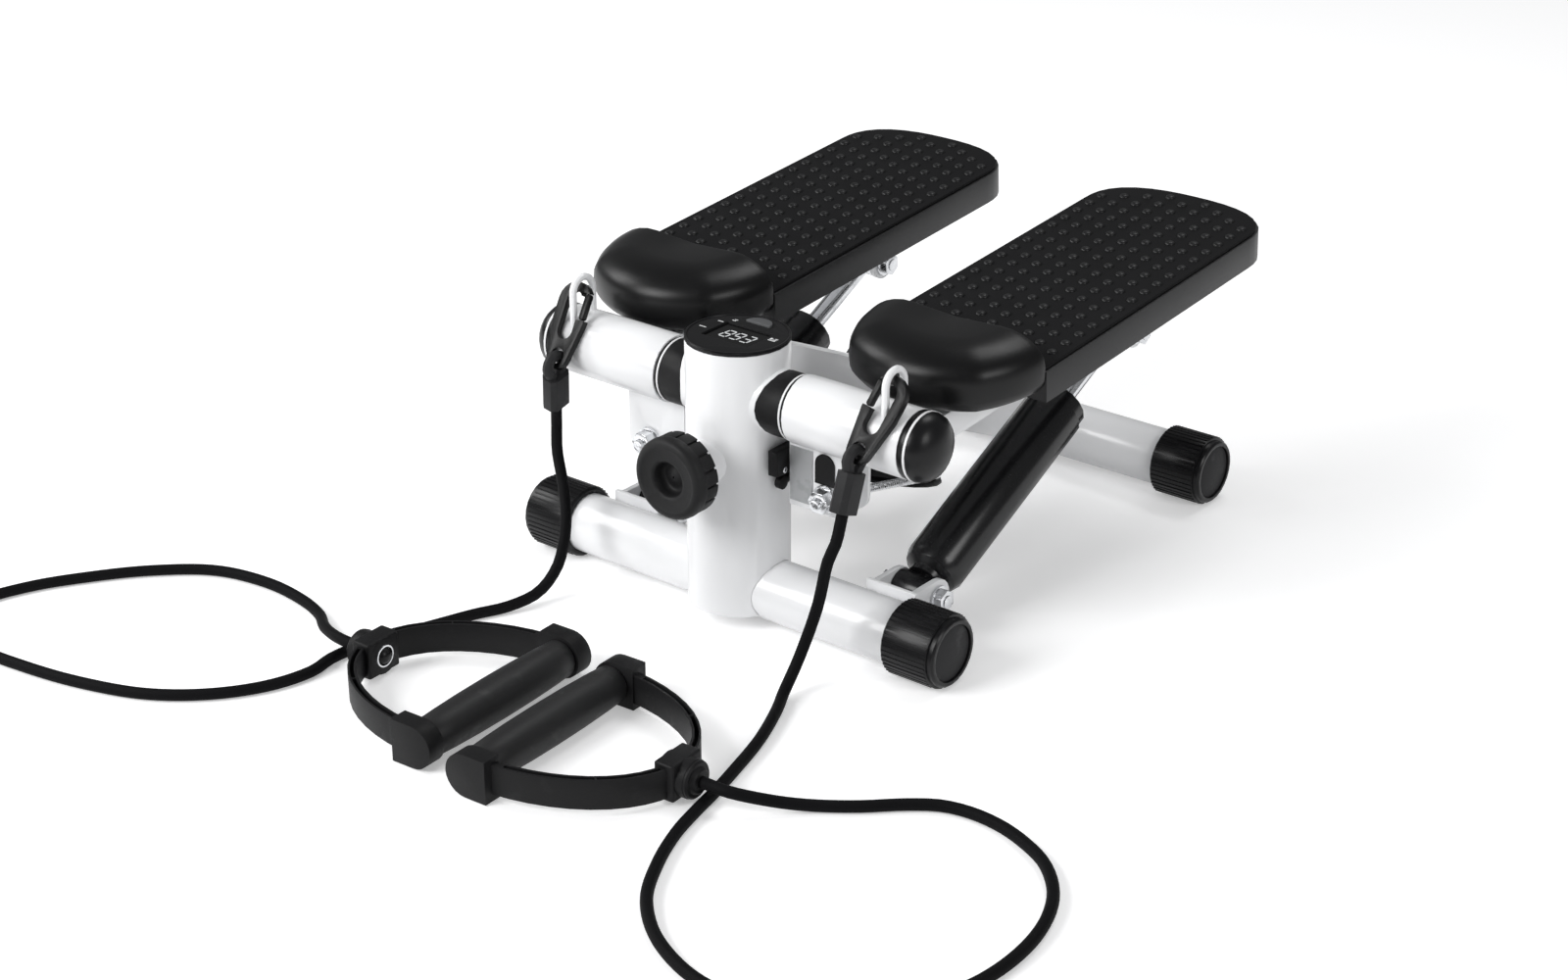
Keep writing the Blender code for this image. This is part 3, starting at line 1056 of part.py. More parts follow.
def display(machine):
    """Round display plugged into the post: housing, sunk panel, window and half-moon button."""
    frame = empty("display_top", (0, 0, DISPLAY_TOP_Z), Matrix.Identity(4), machine)
    outer = POST_RADIUS + DISPLAY_OVERHANG
    plug = POST_RADIUS - POST_WALL - GAP
    inner = plug - DISPLAY_SHELL / 2
    housing = turned([(0, -DISPLAY_SHELL), (inner, -DISPLAY_SHELL), (inner, -DISPLAY_PLUG),
                      (plug, -DISPLAY_PLUG), (plug, -DISPLAY_RIM), (outer, -DISPLAY_RIM),
                      (outer, -BITE), (outer - BITE, 0), (0, 0)], FINE_SIDES)
    half_x, half_y = WINDOW_WIDTH / 2, WINDOW_LENGTH / 2
    recess = block((-half_x, half_x), (WINDOW_Y - half_y, WINDOW_Y + half_y),
                   (-WINDOW_RECESS, BITE))
    button_way = moved(prism(half_moon(BUTTON_WIDTH, BUTTON_LENGTH, 0), -DISPLAY_PLUG, BITE),
                       0, BUTTON_Y)
    piece("display_housing", housing, SATIN_BLACK, frame, cut=[recess, button_way])
    fit_x, fit_y = half_x - GAP, half_y - GAP
    panel_top = GAP + PANEL_THICKNESS - WINDOW_RECESS
    panel = block((-fit_x, fit_x), (WINDOW_Y - fit_y, WINDOW_Y + fit_y),
                  (GAP - WINDOW_RECESS, panel_top))
    piece("display_panel", panel, LCD_GREY, frame)
    window = block((-fit_x, fit_x), (WINDOW_Y - fit_y, WINDOW_Y + fit_y),
                   (panel_top + GAP, panel_top + GAP + WINDOW_THICKNESS))
    piece("display_window", window, SMOKED_CLEAR, frame)
    button_frame = empty("button_axis", (0, BUTTON_Y, 0), Matrix.Identity(4), frame)
    button = prism(half_moon(BUTTON_WIDTH, BUTTON_LENGTH, GAP), -DISPLAY_SHELL, BUTTON_PROUD)
    piece("display_button", button, MATT_BLACK, button_frame)


def switch(machine):
    """Counter switch on the right of the post, with a sprung lever under it."""
    inner_x = POST_RADIUS + GAP
    box = eased_block((inner_x, inner_x + SWITCH_THICKNESS),
                      (SWITCH_Y - SWITCH_LENGTH / 2, SWITCH_Y + SWITCH_LENGTH / 2),
                      (SWITCH_Z - SWITCH_HEIGHT / 2, SWITCH_Z + SWITCH_HEIGHT / 2), BITE)
    piece("switch_body", box, SATIN_BLACK, machine)
    place = (inner_x + SWITCH_THICKNESS / 2, SWITCH_Y + SWITCH_LENGTH / 2 - LEVER_TIP_RADIUS,
             SWITCH_Z - SWITCH_HEIGHT / 2 - LEVER_DROP)
    frame = empty("lever_axis", place, Matrix.Rotation(LEVER_SLOPE, 4, "X"), machine)
    half = LEVER_THICKNESS / 2
    pivot = LEVER_DROP - GAP
    outline = arc(-LEVER_LENGTH, 0, LEVER_TIP_RADIUS, math.radians(30), math.radians(330), 10)
    outline += [(-half, -half), (half, -half), (half, pivot), (-half, pivot), (-half, half)]
    lever = prism(outline, -LEVER_WIDTH / 2, LEVER_WIDTH / 2)
    piece("switch_lever", moved(lever, turn=YZ_ALONG_X), SATIN_BLACK, frame)


def hook_frame(name, frame, side):
    """Axes of a hook: X across it, Y down it, Z through it towards the sleeve."""
    radial = Vector((0, HOOK_RING_Y, SLEEVE_RADIUS + HOOK_RING_LEG + HOOK_LIFT))
    clear = SLEEVE_RADIUS + GAP + HOOK_THICKNESS / 2
    tilt = math.atan2(-radial.y, radial.z) + math.acos(clear / radial.length)
    inward = Vector((0, math.sin(tilt), -math.cos(tilt)))
    straight_down = Vector((0, -math.cos(tilt), -math.sin(tilt)))
    yaw = HOOK_YAW[side]
    down = straight_down * math.cos(yaw) - Vector((math.sin(yaw), 0, 0))
    axes = Matrix((down.cross(inward), down, inward)).transposed()
    place = (HOOK_RING_X + HOOK_SHIFT, radial.y, radial.z)
    return empty(name, place, axes, frame, side), Vector(place), down, inward


def hook_outline():
    """Spring hook seen flat: wide at the bar, narrower at the eye."""
    half = HOOK_WIDTH / 2
    tip = -HOOK_BAR / 2
    eye_y = tip + HOOK_BAR + HOOK_SLOT_LENGTH + HOOK_WEB + HOOK_EYE_RADIUS
    end = HOOK_EYE_RADIUS + HOOK_EYE_RIM
    outline = arc(0, tip + half, half, math.pi, 2 * math.pi, HOOK_ARC_STEPS)
    outline.append((half, tip + HOOK_BAR + HOOK_SLOT_LENGTH - half))
    outline += arc(0, eye_y, end, math.radians(15), math.radians(165), HOOK_ARC_STEPS)
    outline.append((-half, tip + HOOK_BAR + HOOK_SLOT_LENGTH - half))
    return outline, eye_y


def hook_and_clamp(frame, side):
    """Hook in the sleeve's ring, its gate, and the band's clamp with its loop in the eye."""
    name = SIDE_NAMES[side]
    hook, place, down, inward = hook_frame(f"hook_axis_{name}", frame, side)
    outline, eye_y = hook_outline()
    half_thick = HOOK_THICKNESS / 2
    slot = HOOK_SLOT_WIDTH / 2
    top = HOOK_BAR / 2 + slot
    bottom = HOOK_BAR / 2 + HOOK_SLOT_LENGTH - slot
    slot_outline = arc(0, top, slot, math.pi, 2 * math.pi, 8) + arc(0, bottom, slot, 0, math.pi, 8)
    slot_way = prism(slot_outline, -HOOK_THICKNESS, HOOK_THICKNESS)
    eye_way = rod(HOOK_EYE_RADIUS, -HOOK_THICKNESS, HOOK_THICKNESS, 20)
    gate_x = -slot - (HOOK_WIDTH / 2 - slot) / 2
    gate_low = HOOK_BAR / 2 + GATE_START
    gate_high = gate_low + GATE_LENGTH
    gate_way = block((-HOOK_WIDTH, -slot + BITE), (gate_low - GAP, gate_high + GAP),
                     (-HOOK_THICKNESS, HOOK_THICKNESS))
    piece(f"hook_{name}", prism(outline, -half_thick, half_thick), SATIN_BLACK, hook, side,
          cut=[slot_way, moved(eye_way, 0, eye_y), gate_way])
    gate_frame = empty(f"gate_axis_{name}", (gate_x, gate_high, 0), Matrix.Identity(4), hook, side)
    half_gate = GATE_THICKNESS / 2
    gate = eased_block((-half_gate, half_gate), (-GATE_LENGTH, 0), (-half_gate, half_gate), BITE)
    piece(f"hook_gate_{name}", gate, SATIN_BLACK, gate_frame, side)

    rim = place + down * (eye_y + HOOK_EYE_RADIUS + HOOK_EYE_RIM / 2)
    lean = Matrix.Rotation(-CLAMP_LEAN[side], 3, "X")
    spread = Matrix.Rotation(CLAMP_SPREAD[side], 3, "Y")
    axes = lean @ spread.transposed()
    clamp_down = -axes.col[2]
    clamp_top = rim + clamp_down * CLAMP_DROP
    clamp = empty(f"clamp_axis_{name}", clamp_top, axes, frame, side)
    body = eased_block((-CLAMP_WIDTH / 2, CLAMP_WIDTH / 2), (-CLAMP_DEPTH / 2, CLAMP_DEPTH / 2),
                       (-CLAMP_LENGTH, 0), CLAMP_EASE)
    leg = [Vector((0, -LOOP_LEG_SPREAD, z)) for z in (-CLAMP_LENGTH / 4, BITE)]
    bend = [spread @ Vector((0, y, z)) + Vector((0, 0, CLAMP_DROP))
            for y, z in arc(0, 0, LOOP_BEND, math.pi, 0, LOOP_STEPS)]
    other_leg = [Vector((0, -spot.y, spot.z)) for spot in reversed(leg)]
    piece(f"cord_clamp_{name}", body, SATIN_BLACK, clamp, side,
          joined=[swept(leg + bend + other_leg, BAND_RADIUS)])
    return clamp_top + clamp_down * (CLAMP_LENGTH + GAP), clamp_down


def handle(machine, side):
    """D-shaped handle: core bar, end blocks, channelled strap and boss, with a turning grip."""
    name = SIDE_NAMES[side]
    x, y = HANDLE_PLACE[side]
    frame = empty(f"handle_axis_{name}", (x, y, HANDLE_HEIGHT),
                  Matrix.Rotation(HANDLE_TURN[side], 4, "Z"), machine, side)
    quarter = [math.pi * (i / STRAP_STEPS - 0.5) for i in range(STRAP_STEPS + 1)]
    outer = [(STRAP_REACH * math.cos(t), STRAP_HALF_SPAN * math.sin(t)) for t in quarter]
    inner = [((STRAP_REACH - STRAP_THICKNESS) * math.cos(t),
              (STRAP_HALF_SPAN - STRAP_THICKNESS) * math.sin(t)) for t in reversed(quarter)]
    strap = prism(outer + inner, -STRAP_HEIGHT / 2, STRAP_HEIGHT / 2)
    core = moved(rod(CORE_RADIUS, -STRAP_HALF_SPAN, STRAP_HALF_SPAN, 20), turn=ALONG_Y)
    start = HANDLE_HALF_LENGTH - END_BLOCK_LENGTH
    cheek = arc(0, 0, END_BLOCK_RADIUS, math.pi / 2, math.pi * 3 / 2, 12)
    cheek += [(END_BLOCK_REACH, -END_BLOCK_RADIUS), (END_BLOCK_REACH, END_BLOCK_RADIUS)]
    blocks = [moved(prism(cheek, *ends), turn=AGAINST_Y)
              for ends in ((start, HANDLE_HALF_LENGTH), (-HANDLE_HALF_LENGTH, -start))]
    end = HANDLE_BOSS_END
    boss = turned([(0, HANDLE_BOSS_START), (HANDLE_BOSS_RADIUS, HANDLE_BOSS_START),
                   (HANDLE_BOSS_RADIUS, end - HANDLE_COLLAR_LENGTH - 2 * BITE),
                   (HANDLE_COLLAR_RADIUS + BITE, end - HANDLE_COLLAR_LENGTH),
                   (HANDLE_COLLAR_RADIUS, end - BITE), (HANDLE_COLLAR_RADIUS - BITE, end),
                   (0, end)], 20)
    piece(f"handle_frame_{name}", strap, SATIN_BLACK, frame, side,
          joined=[core] + blocks + [moved(boss, turn=ALONG_X)])
    reach = start - GAP
    grip = turned([(CORE_RADIUS + GAP, -reach), (GRIP_RADIUS - BITE, -reach),
                   (GRIP_RADIUS, BITE - reach), (GRIP_RADIUS, reach - BITE),
                   (GRIP_RADIUS - BITE, reach), (CORE_RADIUS + GAP, reach)])
    piece(f"handle_grip_{name}", moved(grip, turn=ALONG_Y), MATT_BLACK, frame, side)
    turn = Matrix.Rotation(HANDLE_TURN[side], 3, "Z")
    out = turn @ Vector((1, 0, 0))
    return Vector((x, y, HANDLE_HEIGHT)) + out * (HANDLE_BOSS_END + GAP), out


def band(machine, side, start, start_way, end, end_way):
    """Elastic cord from the clamp down to the floor, round a loop and back to its handle."""
    if side == LEFT:
        start, start_way, end, end_way = (MIRROR_X.to_3x3() @ v
                                          for v in (start, start_way, end, end_way))
    route = [start, start + start_way * BAND_SPACING]
    route += [Vector(point) for point in BAND_ROUTE[side]]
    route += [end + end_way * BAND_SPACING, end]
    points = smooth_route(route, BAND_SPACING)
    cord(f"band_{SIDE_NAMES[side]}", points, BAND_RADIUS, RUBBER_BLACK, 2, machine)


def build():
    clear_scene()
    machine = empty("machine", (0, FRONT_TUBE_Y, 0), Matrix.Identity(4), None)
    cross_tubes(machine)
    post(machine)
    main_beam(machine)
    pulley_and_rope(machine)
    shaft_and_bushes(machine)
    adjuster(machine)
    display(machine)
    switch(machine)
    lower_grip = LOWER_EYE_HALF_WIDTH + EAR_CLEARANCE + EAR_THICKNESS
    upper_grip = UPPER_EYE_HALF_WIDTH + EAR_CLEARANCE + EAR_THICKNESS
    lower_pivot = Vector((0, LOWER_PIVOT_Y, LOWER_PIVOT_Z))
    for side, name in SIDE_NAMES.items():
        damper_bracket(machine, side)
        pivot_bolt(f"lower_bolt_{name}", machine, side, lower_pivot, lower_grip)
        damper(machine, side)
        pedal = empty(f"pedal_axis_{name}", (0, 0, SHAFT_Z), Matrix.Identity(4), machine)
        sleeve(pedal, side)
        end_dome(pedal, side)
        rope_nut(pedal, side)
        board = empty(f"board_{name}", (0, 0, 0), Matrix.Rotation(PEDAL_TILT, 4, "X"), pedal)
        pedal_arm(board, side)
        pedal_plate(board, side)
        tread_mat(board, side)
        toe_cup(board, side)
        pivot_bolt(f"upper_bolt_{name}", board, side, pivot_on_board(), upper_grip)
        start, start_way = hook_and_clamp(pedal, side)
        end, end_way = handle(machine, side)
        band(machine, side, start + Vector((0, 0, SHAFT_Z)), start_way, end, end_way)


build()
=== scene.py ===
"""Mini stepper, dressed: enamel, black plastics, studded treads, cords and small hardware.

Metres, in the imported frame: X to the right seen from the front, Y to the rear, Z up.
"""
import json
import math

import bpy
from mathutils import Matrix, Vector

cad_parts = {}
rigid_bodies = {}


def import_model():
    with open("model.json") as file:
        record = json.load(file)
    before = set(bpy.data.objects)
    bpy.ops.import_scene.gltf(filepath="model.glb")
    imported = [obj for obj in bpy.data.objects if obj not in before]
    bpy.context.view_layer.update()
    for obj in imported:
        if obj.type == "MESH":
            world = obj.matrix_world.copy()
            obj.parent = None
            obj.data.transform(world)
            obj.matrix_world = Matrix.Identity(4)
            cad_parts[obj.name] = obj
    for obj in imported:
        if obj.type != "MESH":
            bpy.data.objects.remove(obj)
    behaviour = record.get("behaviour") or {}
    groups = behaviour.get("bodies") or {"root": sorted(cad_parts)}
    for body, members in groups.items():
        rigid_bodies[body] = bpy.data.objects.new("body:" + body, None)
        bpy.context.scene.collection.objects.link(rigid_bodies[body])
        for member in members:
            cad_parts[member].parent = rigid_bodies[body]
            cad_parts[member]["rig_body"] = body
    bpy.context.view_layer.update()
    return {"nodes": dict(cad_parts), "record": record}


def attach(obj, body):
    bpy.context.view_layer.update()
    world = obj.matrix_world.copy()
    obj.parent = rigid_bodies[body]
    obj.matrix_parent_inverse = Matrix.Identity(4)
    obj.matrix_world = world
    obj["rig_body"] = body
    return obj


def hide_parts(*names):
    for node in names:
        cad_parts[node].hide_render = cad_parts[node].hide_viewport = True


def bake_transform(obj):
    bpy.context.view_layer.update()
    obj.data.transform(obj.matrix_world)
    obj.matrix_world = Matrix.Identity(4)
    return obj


SIDES = {"right": 1, "left": -1}
MIRROR_X = Matrix.Diagonal((-1, 1, 1, 1))

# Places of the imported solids
FRONT_TUBE_Y = -0.0423
SHAFT_Z = 0.1463
PEDAL_TILT = math.radians(4.18)
BAND_RADIUS = 0.0035

# How round the turned pieces are, in sides
FINE_SIDES = 96
SCREW_SIDES = 32
STUD_SIDES = 12

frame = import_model()
nodes = frame["nodes"]


# Shader maths

class Wire:
    """An output socket of a shader tree; arithmetic on it adds Math nodes."""

    def __init__(self, finish, socket):
        self.finish = finish
        self.socket = socket

    def maths(self, operation, *values):
        """One Math node."""
        return self.finish.node("Math", {"operation": operation}, *values)

    def __add__(self, other):
        return self.maths("ADD", self, other)

    def __radd__(self, other):
        return self.maths("ADD", other, self)

    def __sub__(self, other):
        return self.maths("SUBTRACT", self, other)

    def __mul__(self, other):
        return self.maths("MULTIPLY", self, other)

    def above(self, edge, width):
        """0 below the edge, 1 above it, with a soft step of that width."""
        return self.finish.node("MapRange", {"interpolation_type": "SMOOTHSTEP"}, self,
                                edge - width / 2, edge + width / 2, 0.0, 1.0)


class Finish:
    """A material: its shader, its slot, and the wires that feed it."""

    def __init__(self, name, colour, roughness, metallic=0.0, specular=0.5, coat=0.0,
                 coat_roughness=0.1, slot=None):
        self.material = bpy.data.materials.new(name)
        self.material.use_nodes = True
        self.tree = self.material.node_tree
        self.shader = self.tree.nodes["Principled BSDF"]
        self.slot = slot
        self.set("Base Color", (*colour, 1.0))
        self.set("Roughness", roughness)
        self.set("Metallic", metallic)
        self.set("Specular IOR Level", specular)
        self.set("Coat Weight", coat)
        self.set("Coat Roughness", coat_roughness)
        self.bumps = None
        self.material.diffuse_color = (*colour, 1.0)

    def set(self, name, value):
        """Gives an input of the shader a value, or a wire that feeds it."""
        if isinstance(value, Wire):
            self.tree.links.new(value.socket, self.shader.inputs[name])
        else:
            self.shader.inputs[name].default_value = value

    def node(self, kind, settings, *values, out=0, **named):
        """Adds a node; values fill its inputs in order, named ones by the input's name."""
        item = self.tree.nodes.new("ShaderNode" + kind)
        for key, value in settings.items():
            setattr(item, key, value)
        for socket, value in list(zip(item.inputs, values)) + [
                (item.inputs[key], value) for key, value in named.items()]:
            if isinstance(value, Wire):
                self.tree.links.new(value.socket, socket)
            else:
                socket.default_value = value
        return Wire(self, item.outputs[out])

    def place(self, scale=(1, 1, 1)):
        """Object coordinates, scaled along each axis."""
        return self.node("Mapping", {}, self.node("TexCoord", {}, out=3), Scale=scale)

    def noise(self, scale, detail=3.0, roughness=0.55, where=None):
        """Soft noise from 0 to 1; the higher the scale, the finer it is."""
        return self.node("TexNoise", {}, Vector=where or self.place(), Scale=scale, Detail=detail,
                         Roughness=roughness)

    def grain(self, scale):
        """Small cells, for the skin of moulded plastic."""
        return self.node("TexVoronoi", {"feature": "F1"}, Vector=self.place(), Scale=scale)

    def blend(self, factor, first, second):
        """A colour between two colours."""
        item = self.tree.nodes.new("ShaderNodeMix")
        item.data_type = "RGBA"
        self.tree.links.new(factor.socket, item.inputs[0])
        item.inputs[6].default_value = (*first, 1.0)
        item.inputs[7].default_value = (*second, 1.0)
        return Wire(self, item.outputs[2])

    def bump(self, height, strength, distance):
        """Adds a layer of relief; each layer takes the last one as its normal."""
        item = self.tree.nodes.new("ShaderNodeBump")
        item.inputs["Strength"].default_value = strength
        item.inputs["Distance"].default_value = distance
        self.tree.links.new(height.socket, item.inputs["Height"])
        if self.bumps:
            self.tree.links.new(self.bumps.socket, item.inputs["Normal"])
        self.bumps = Wire(self, item.outputs[0])
        self.set("Normal", self.bumps)


def tint(colour, factor):
    """The colour, darker or lighter by the factor."""
    return tuple(min(1.0, c * factor) for c in colour)


def enamel():
    """Light grey-white stoved paint with a faint orange peel and a few scuffs."""
    base = (0.87, 0.875, 0.885)
    paint = Finish("white_enamel", base, 0.3, specular=0.45, coat=0.35, coat_roughness=0.12,
                   slot="white_enamel")
    cloud = paint.noise(9.0, 4.0)
    speck = paint.noise(420.0, 2.0)
    worn = paint.noise(60.0, 5.0, 0.7).above(0.66, 0.06)
    paint.set("Base Color", paint.blend(cloud * 0.5 + worn * 0.2, tint(base, 1.02),
                                        tint(base, 0.94)))
    paint.set("Roughness", 0.24 + cloud * 0.10 + speck * 0.05 + worn * 0.08)
    paint.bump(paint.noise(260.0, 2.0), 0.10, 0.0004)
    paint.bump(speck, 0.05, 0.0001)
    return paint


def gloss_black(name, slot, colour=(0.012, 0.012, 0.013), roughness=0.2, specular=0.42):
    """Glossy black with faint haze, fine scratches and dust."""
    black = Finish(name, colour, roughness, specular=specular, slot=slot)
    haze = black.noise(22.0, 4.0)
    scratch = black.noise(90.0, 6.0, 0.7, black.place((1, 1, 14)))
    dust = black.noise(700.0, 1.0).above(0.72, 0.05)
    black.set("Base Color", black.blend(haze * 0.5 + dust * 0.25, colour, tint(colour, 2.4)))
    black.set("Roughness", roughness - 0.05 + haze * 0.12 + scratch * 0.08 + dust * 0.1)
    black.bump(black.noise(130.0, 2.0), 0.06, 0.0003)
    return black


def moulded_black(name, slot, colour=(0.02, 0.02, 0.021), roughness=0.48, grain=1500.0,
                  depth=0.35, specular=0.3):
    """Moulded plastic with a fine spark-eroded grain."""
    black = Finish(name, colour, roughness, specular=specular, slot=slot)
    haze = black.noise(30.0, 4.0)
    fine = black.grain(grain)
    rub = black.noise(75.0, 5.0, 0.65).above(0.62, 0.1)
    black.set("Base Color", black.blend(haze * 0.6 + rub * 0.3, tint(colour, 0.85),
                                        tint(colour, 1.7)))
    black.set("Roughness", roughness + haze * 0.12 + fine * 0.06 - rub * 0.1)
    black.bump(fine, depth, 0.00012)
    black.bump(black.noise(240.0, 2.0), 0.12, 0.0002)
    return black


def rubber(name, slot, colour=(0.018, 0.018, 0.019), scale=900.0):
    """Matt rubber, slightly dusty, with a coarse skin."""
    skin = Finish(name, colour, 0.62, specular=0.07, slot=slot)
    dust = skin.noise(45.0, 5.0, 0.6)
    pores = skin.noise(scale, 3.0)
    skin.set("Base Color", skin.blend(dust * 0.7, tint(colour, 0.8), tint(colour, 2.0)))
    skin.set("Roughness", 0.5 + dust * 0.22 + pores * 0.08)
    skin.bump(pores, 0.4, 0.00015)
    return skin


def bright_metal(name, slot, colour=(0.74, 0.75, 0.77), roughness=0.16):
    """Plated steel with fine lathe marks and a little tarnish."""
    metal = Finish(name, colour, roughness, metallic=1.0, slot=slot)
    marks = metal.noise(55.0, 5.0, 0.6, metal.place((1, 30, 30)))
    stain = metal.noise(120.0, 4.0).above(0.58, 0.2)
    metal.set("Base Color", metal.blend(stain * 0.5, colour, tint(colour, 0.72)))
    metal.set("Roughness", roughness - 0.05 + marks * 0.14 + stain * 0.12)
    metal.bump(marks, 0.05, 0.0001)
    return metal


def thin_print(name, colour):
    """Thin print or trim: nearly even, with a faint unevenness."""
    ink = Finish(name, colour, 0.4, specular=0.4)
    cloud = ink.noise(300.0, 3.0)
    ink.set("Base Color", ink.blend(cloud, tint(colour, 0.9), tint(colour, 1.05)))
    ink.set("Roughness", 0.34 + cloud * 0.15)
    ink.bump(ink.noise(900.0, 2.0), 0.05, 0.0001)
    return ink


FINISHES = {
    "white_enamel": enamel(),
    "damper_black": gloss_black("damper_paint", "damper_black", (0.004, 0.004, 0.0045), 0.19,
                                0.38),
    "cap_black": gloss_black("cap_plastic", "cap_black", (0.004, 0.004, 0.0045), 0.25, 0.24),
    "bright_steel": bright_metal("bright_steel", "bright_steel"),
    "rope_steel": bright_metal("rope_wire", "rope_steel", (0.86, 0.87, 0.89), 0.24),
    "satin_black": moulded_black("moulded_black", "satin_black", (0.005, 0.005, 0.0055),
                                 0.42, specular=0.2),
    "tread_black": rubber("tread_rubber", "tread_black", (0.0085, 0.0085, 0.009)),
    "band_black": rubber("band_rubber", "band_black", (0.004, 0.004, 0.0045), 1400.0),
    "hook_black": moulded_black("hook_coating", "hook_black", (0.003, 0.003, 0.0032), 0.3, 900.0,
                                specular=0.24),
    "window": gloss_black("window_lens", "window", (0.002, 0.002, 0.002), 0.1, 0.12),
    "panel": moulded_black("panel_black", "panel", (0.004, 0.004, 0.0045), 0.4,
                           specular=0.15),
}
SLOTS = {row["node"]: row["material_slot"] for row in frame["record"]["subparts"]}
WHITE_TRIM = thin_print("white_trim", (0.86, 0.86, 0.87))
WHITE_PRINT = thin_print("white_print", (0.85, 0.86, 0.87))
LCD_SEGMENT = thin_print("lcd_segment", (0.78, 0.80, 0.81))
CAP_FACE = moulded_black("cap_face", "cap_black", (0.018, 0.018, 0.019), 0.5, 1100.0, 0.3, 0.2)
CUP_GLOSS = gloss_black("cup_plastic", "satin_black", (0.002, 0.002, 0.0022), 0.3, 0.27)
STUD_SHINE = gloss_black("stud_rubber", "tread_black", (0.006, 0.006, 0.0065), 0.36, 0.3)
BOARD_GLOSS = gloss_black("board_plastic", SLOTS["pedal_plate_left"], (0.007, 0.007, 0.0075),
                          0.34, 0.4)
BUTTON_GREY = moulded_black("button_grey", "satin_black", (0.075, 0.077, 0.08), 0.42)
# Grey steel for a plate that paints the shade on the right rope bracket's wall.
BRACKET_SHADE_GREY = bright_metal("bracket_shade_plate", "bright_steel", (0.50, 0.51, 0.52), 0.42)
KNOB_GREY = moulded_black("knob_grey", "satin_black", (0.008, 0.008, 0.0085), 0.46, 1200.0,
                          specular=0.24)
CLAMP_GREY = moulded_black("clamp_grey", "satin_black", (0.017, 0.017, 0.018), 0.5, 1200.0,
                           specular=0.24)
FOAM = moulded_black("foam", "satin_black", (0.012, 0.012, 0.0125), 0.42, 1300.0, 0.3, 0.3)


# Modelling helpers

# Edges flatter than this are shaded smooth, in degrees
SMOOTH_ANGLE = 35
# A profile that starts nearer to the axis than this is open there
ON_AXIS = 1e-6
SAME_SPOT = 0.00001
SAME_CORNER = 0.000005
FLAT_ANGLE = math.radians(0.5)
ROUTE_STEPS = 20


def only(item):
    """Selects one object alone and makes it active."""
    bpy.ops.object.select_all(action="DESELECT")
    item.select_set(True)
    bpy.context.view_layer.objects.active = item
    return item


def dress(item, finish):
    """Gives a piece its finish, alone in its slots."""
    item.data.materials.clear()
    item.data.materials.append(finish.material)
    return item


def settle(item, turn=None):
    """Applies a turn and the object's own place to its mesh."""
    if turn is not None:
        item.matrix_world = turn @ item.matrix_world
    only(item)
    bpy.ops.object.transform_apply(location=True, rotation=True, scale=True)
    return item


def finish_mesh(item, bevel=0.0, segments=2, angle=SMOOTH_ANGLE):
    """Bevels the edges sharper than the angle, in degrees, and smooths what lies between."""
    only(item)
    if bevel:
        edge = item.modifiers.new("edge", "BEVEL")
        edge.width = bevel
        edge.segments = segments
        edge.limit_method = "ANGLE"
        edge.angle_limit = math.radians(angle)
        bpy.ops.object.modifier_apply(modifier=edge.name)
    bpy.ops.object.shade_smooth_by_angle(angle=math.radians(angle))
    return item


def point(name):
    """A mesh of one vertex at the origin, ready to be extruded into an outline."""
    bpy.ops.object.select_all(action="DESELECT")
    bpy.ops.mesh.primitive_plane_add(size=1, location=(0, 0, 0))
    item = bpy.context.object
    item.name = item.data.name = name
    bpy.ops.object.mode_set(mode="EDIT")
    bpy.ops.mesh.select_all(action="SELECT")
    bpy.ops.mesh.merge(type="CENTER")
    return item


def draw(places):
    """Moves the selected vertex from the origin to the first place, then through the rest."""
    here = Vector(places[0])
    bpy.ops.transform.translate(value=here)
    for place in places[1:]:
        place = Vector(place)
        bpy.ops.mesh.extrude_vertices_move(TRANSFORM_OT_translate={"value": place - here})
        here = place


def turned(name, profile, finish, turn=None, sides=64, angle=SMOOTH_ANGLE):
    """Turned about Z from (radius, height) points; a profile off the axis is closed."""
    item = point(name)
    draw([(radius, 0, height) for radius, height in profile])
    if profile[0][0] > ON_AXIS:
        bpy.ops.mesh.select_all(action="DESELECT")
        bpy.ops.object.mode_set(mode="OBJECT")
        item.data.vertices[0].select = True
        item.data.vertices[len(profile) - 1].select = True
        bpy.ops.object.mode_set(mode="EDIT")
        bpy.ops.mesh.edge_face_add()
    bpy.ops.mesh.select_all(action="SELECT")
    bpy.ops.mesh.spin(steps=sides, angle=2 * math.pi, center=(0, 0, 0), axis=(0, 0, 1))
    bpy.ops.mesh.select_all(action="SELECT")
    bpy.ops.mesh.remove_doubles(threshold=SAME_SPOT)
    bpy.ops.mesh.normals_make_consistent(inside=False)
    bpy.ops.object.mode_set(mode="OBJECT")
    settle(item, turn)
    dress(item, finish)
    return finish_mesh(item, angle=angle)


def drawn_out(name, outline, low, high, finish, turn=None, bevel=0.0, segments=2):
    """An outline in the X-Y plane, extruded along Z."""
    item = point(name)
    draw([(x, y, low) for x, y in outline])
    bpy.ops.mesh.select_all(action="SELECT")
    bpy.ops.mesh.edge_face_add()
    bpy.ops.mesh.select_all(action="SELECT")
    bpy.ops.mesh.extrude_region_move(TRANSFORM_OT_translate={"value": (0, 0, high - low)})
    bpy.ops.mesh.select_all(action="SELECT")
    bpy.ops.mesh.normals_make_consistent(inside=False)
    bpy.ops.object.mode_set(mode="OBJECT")
    settle(item, turn)
    dress(item, finish)
    return finish_mesh(item, bevel, segments)


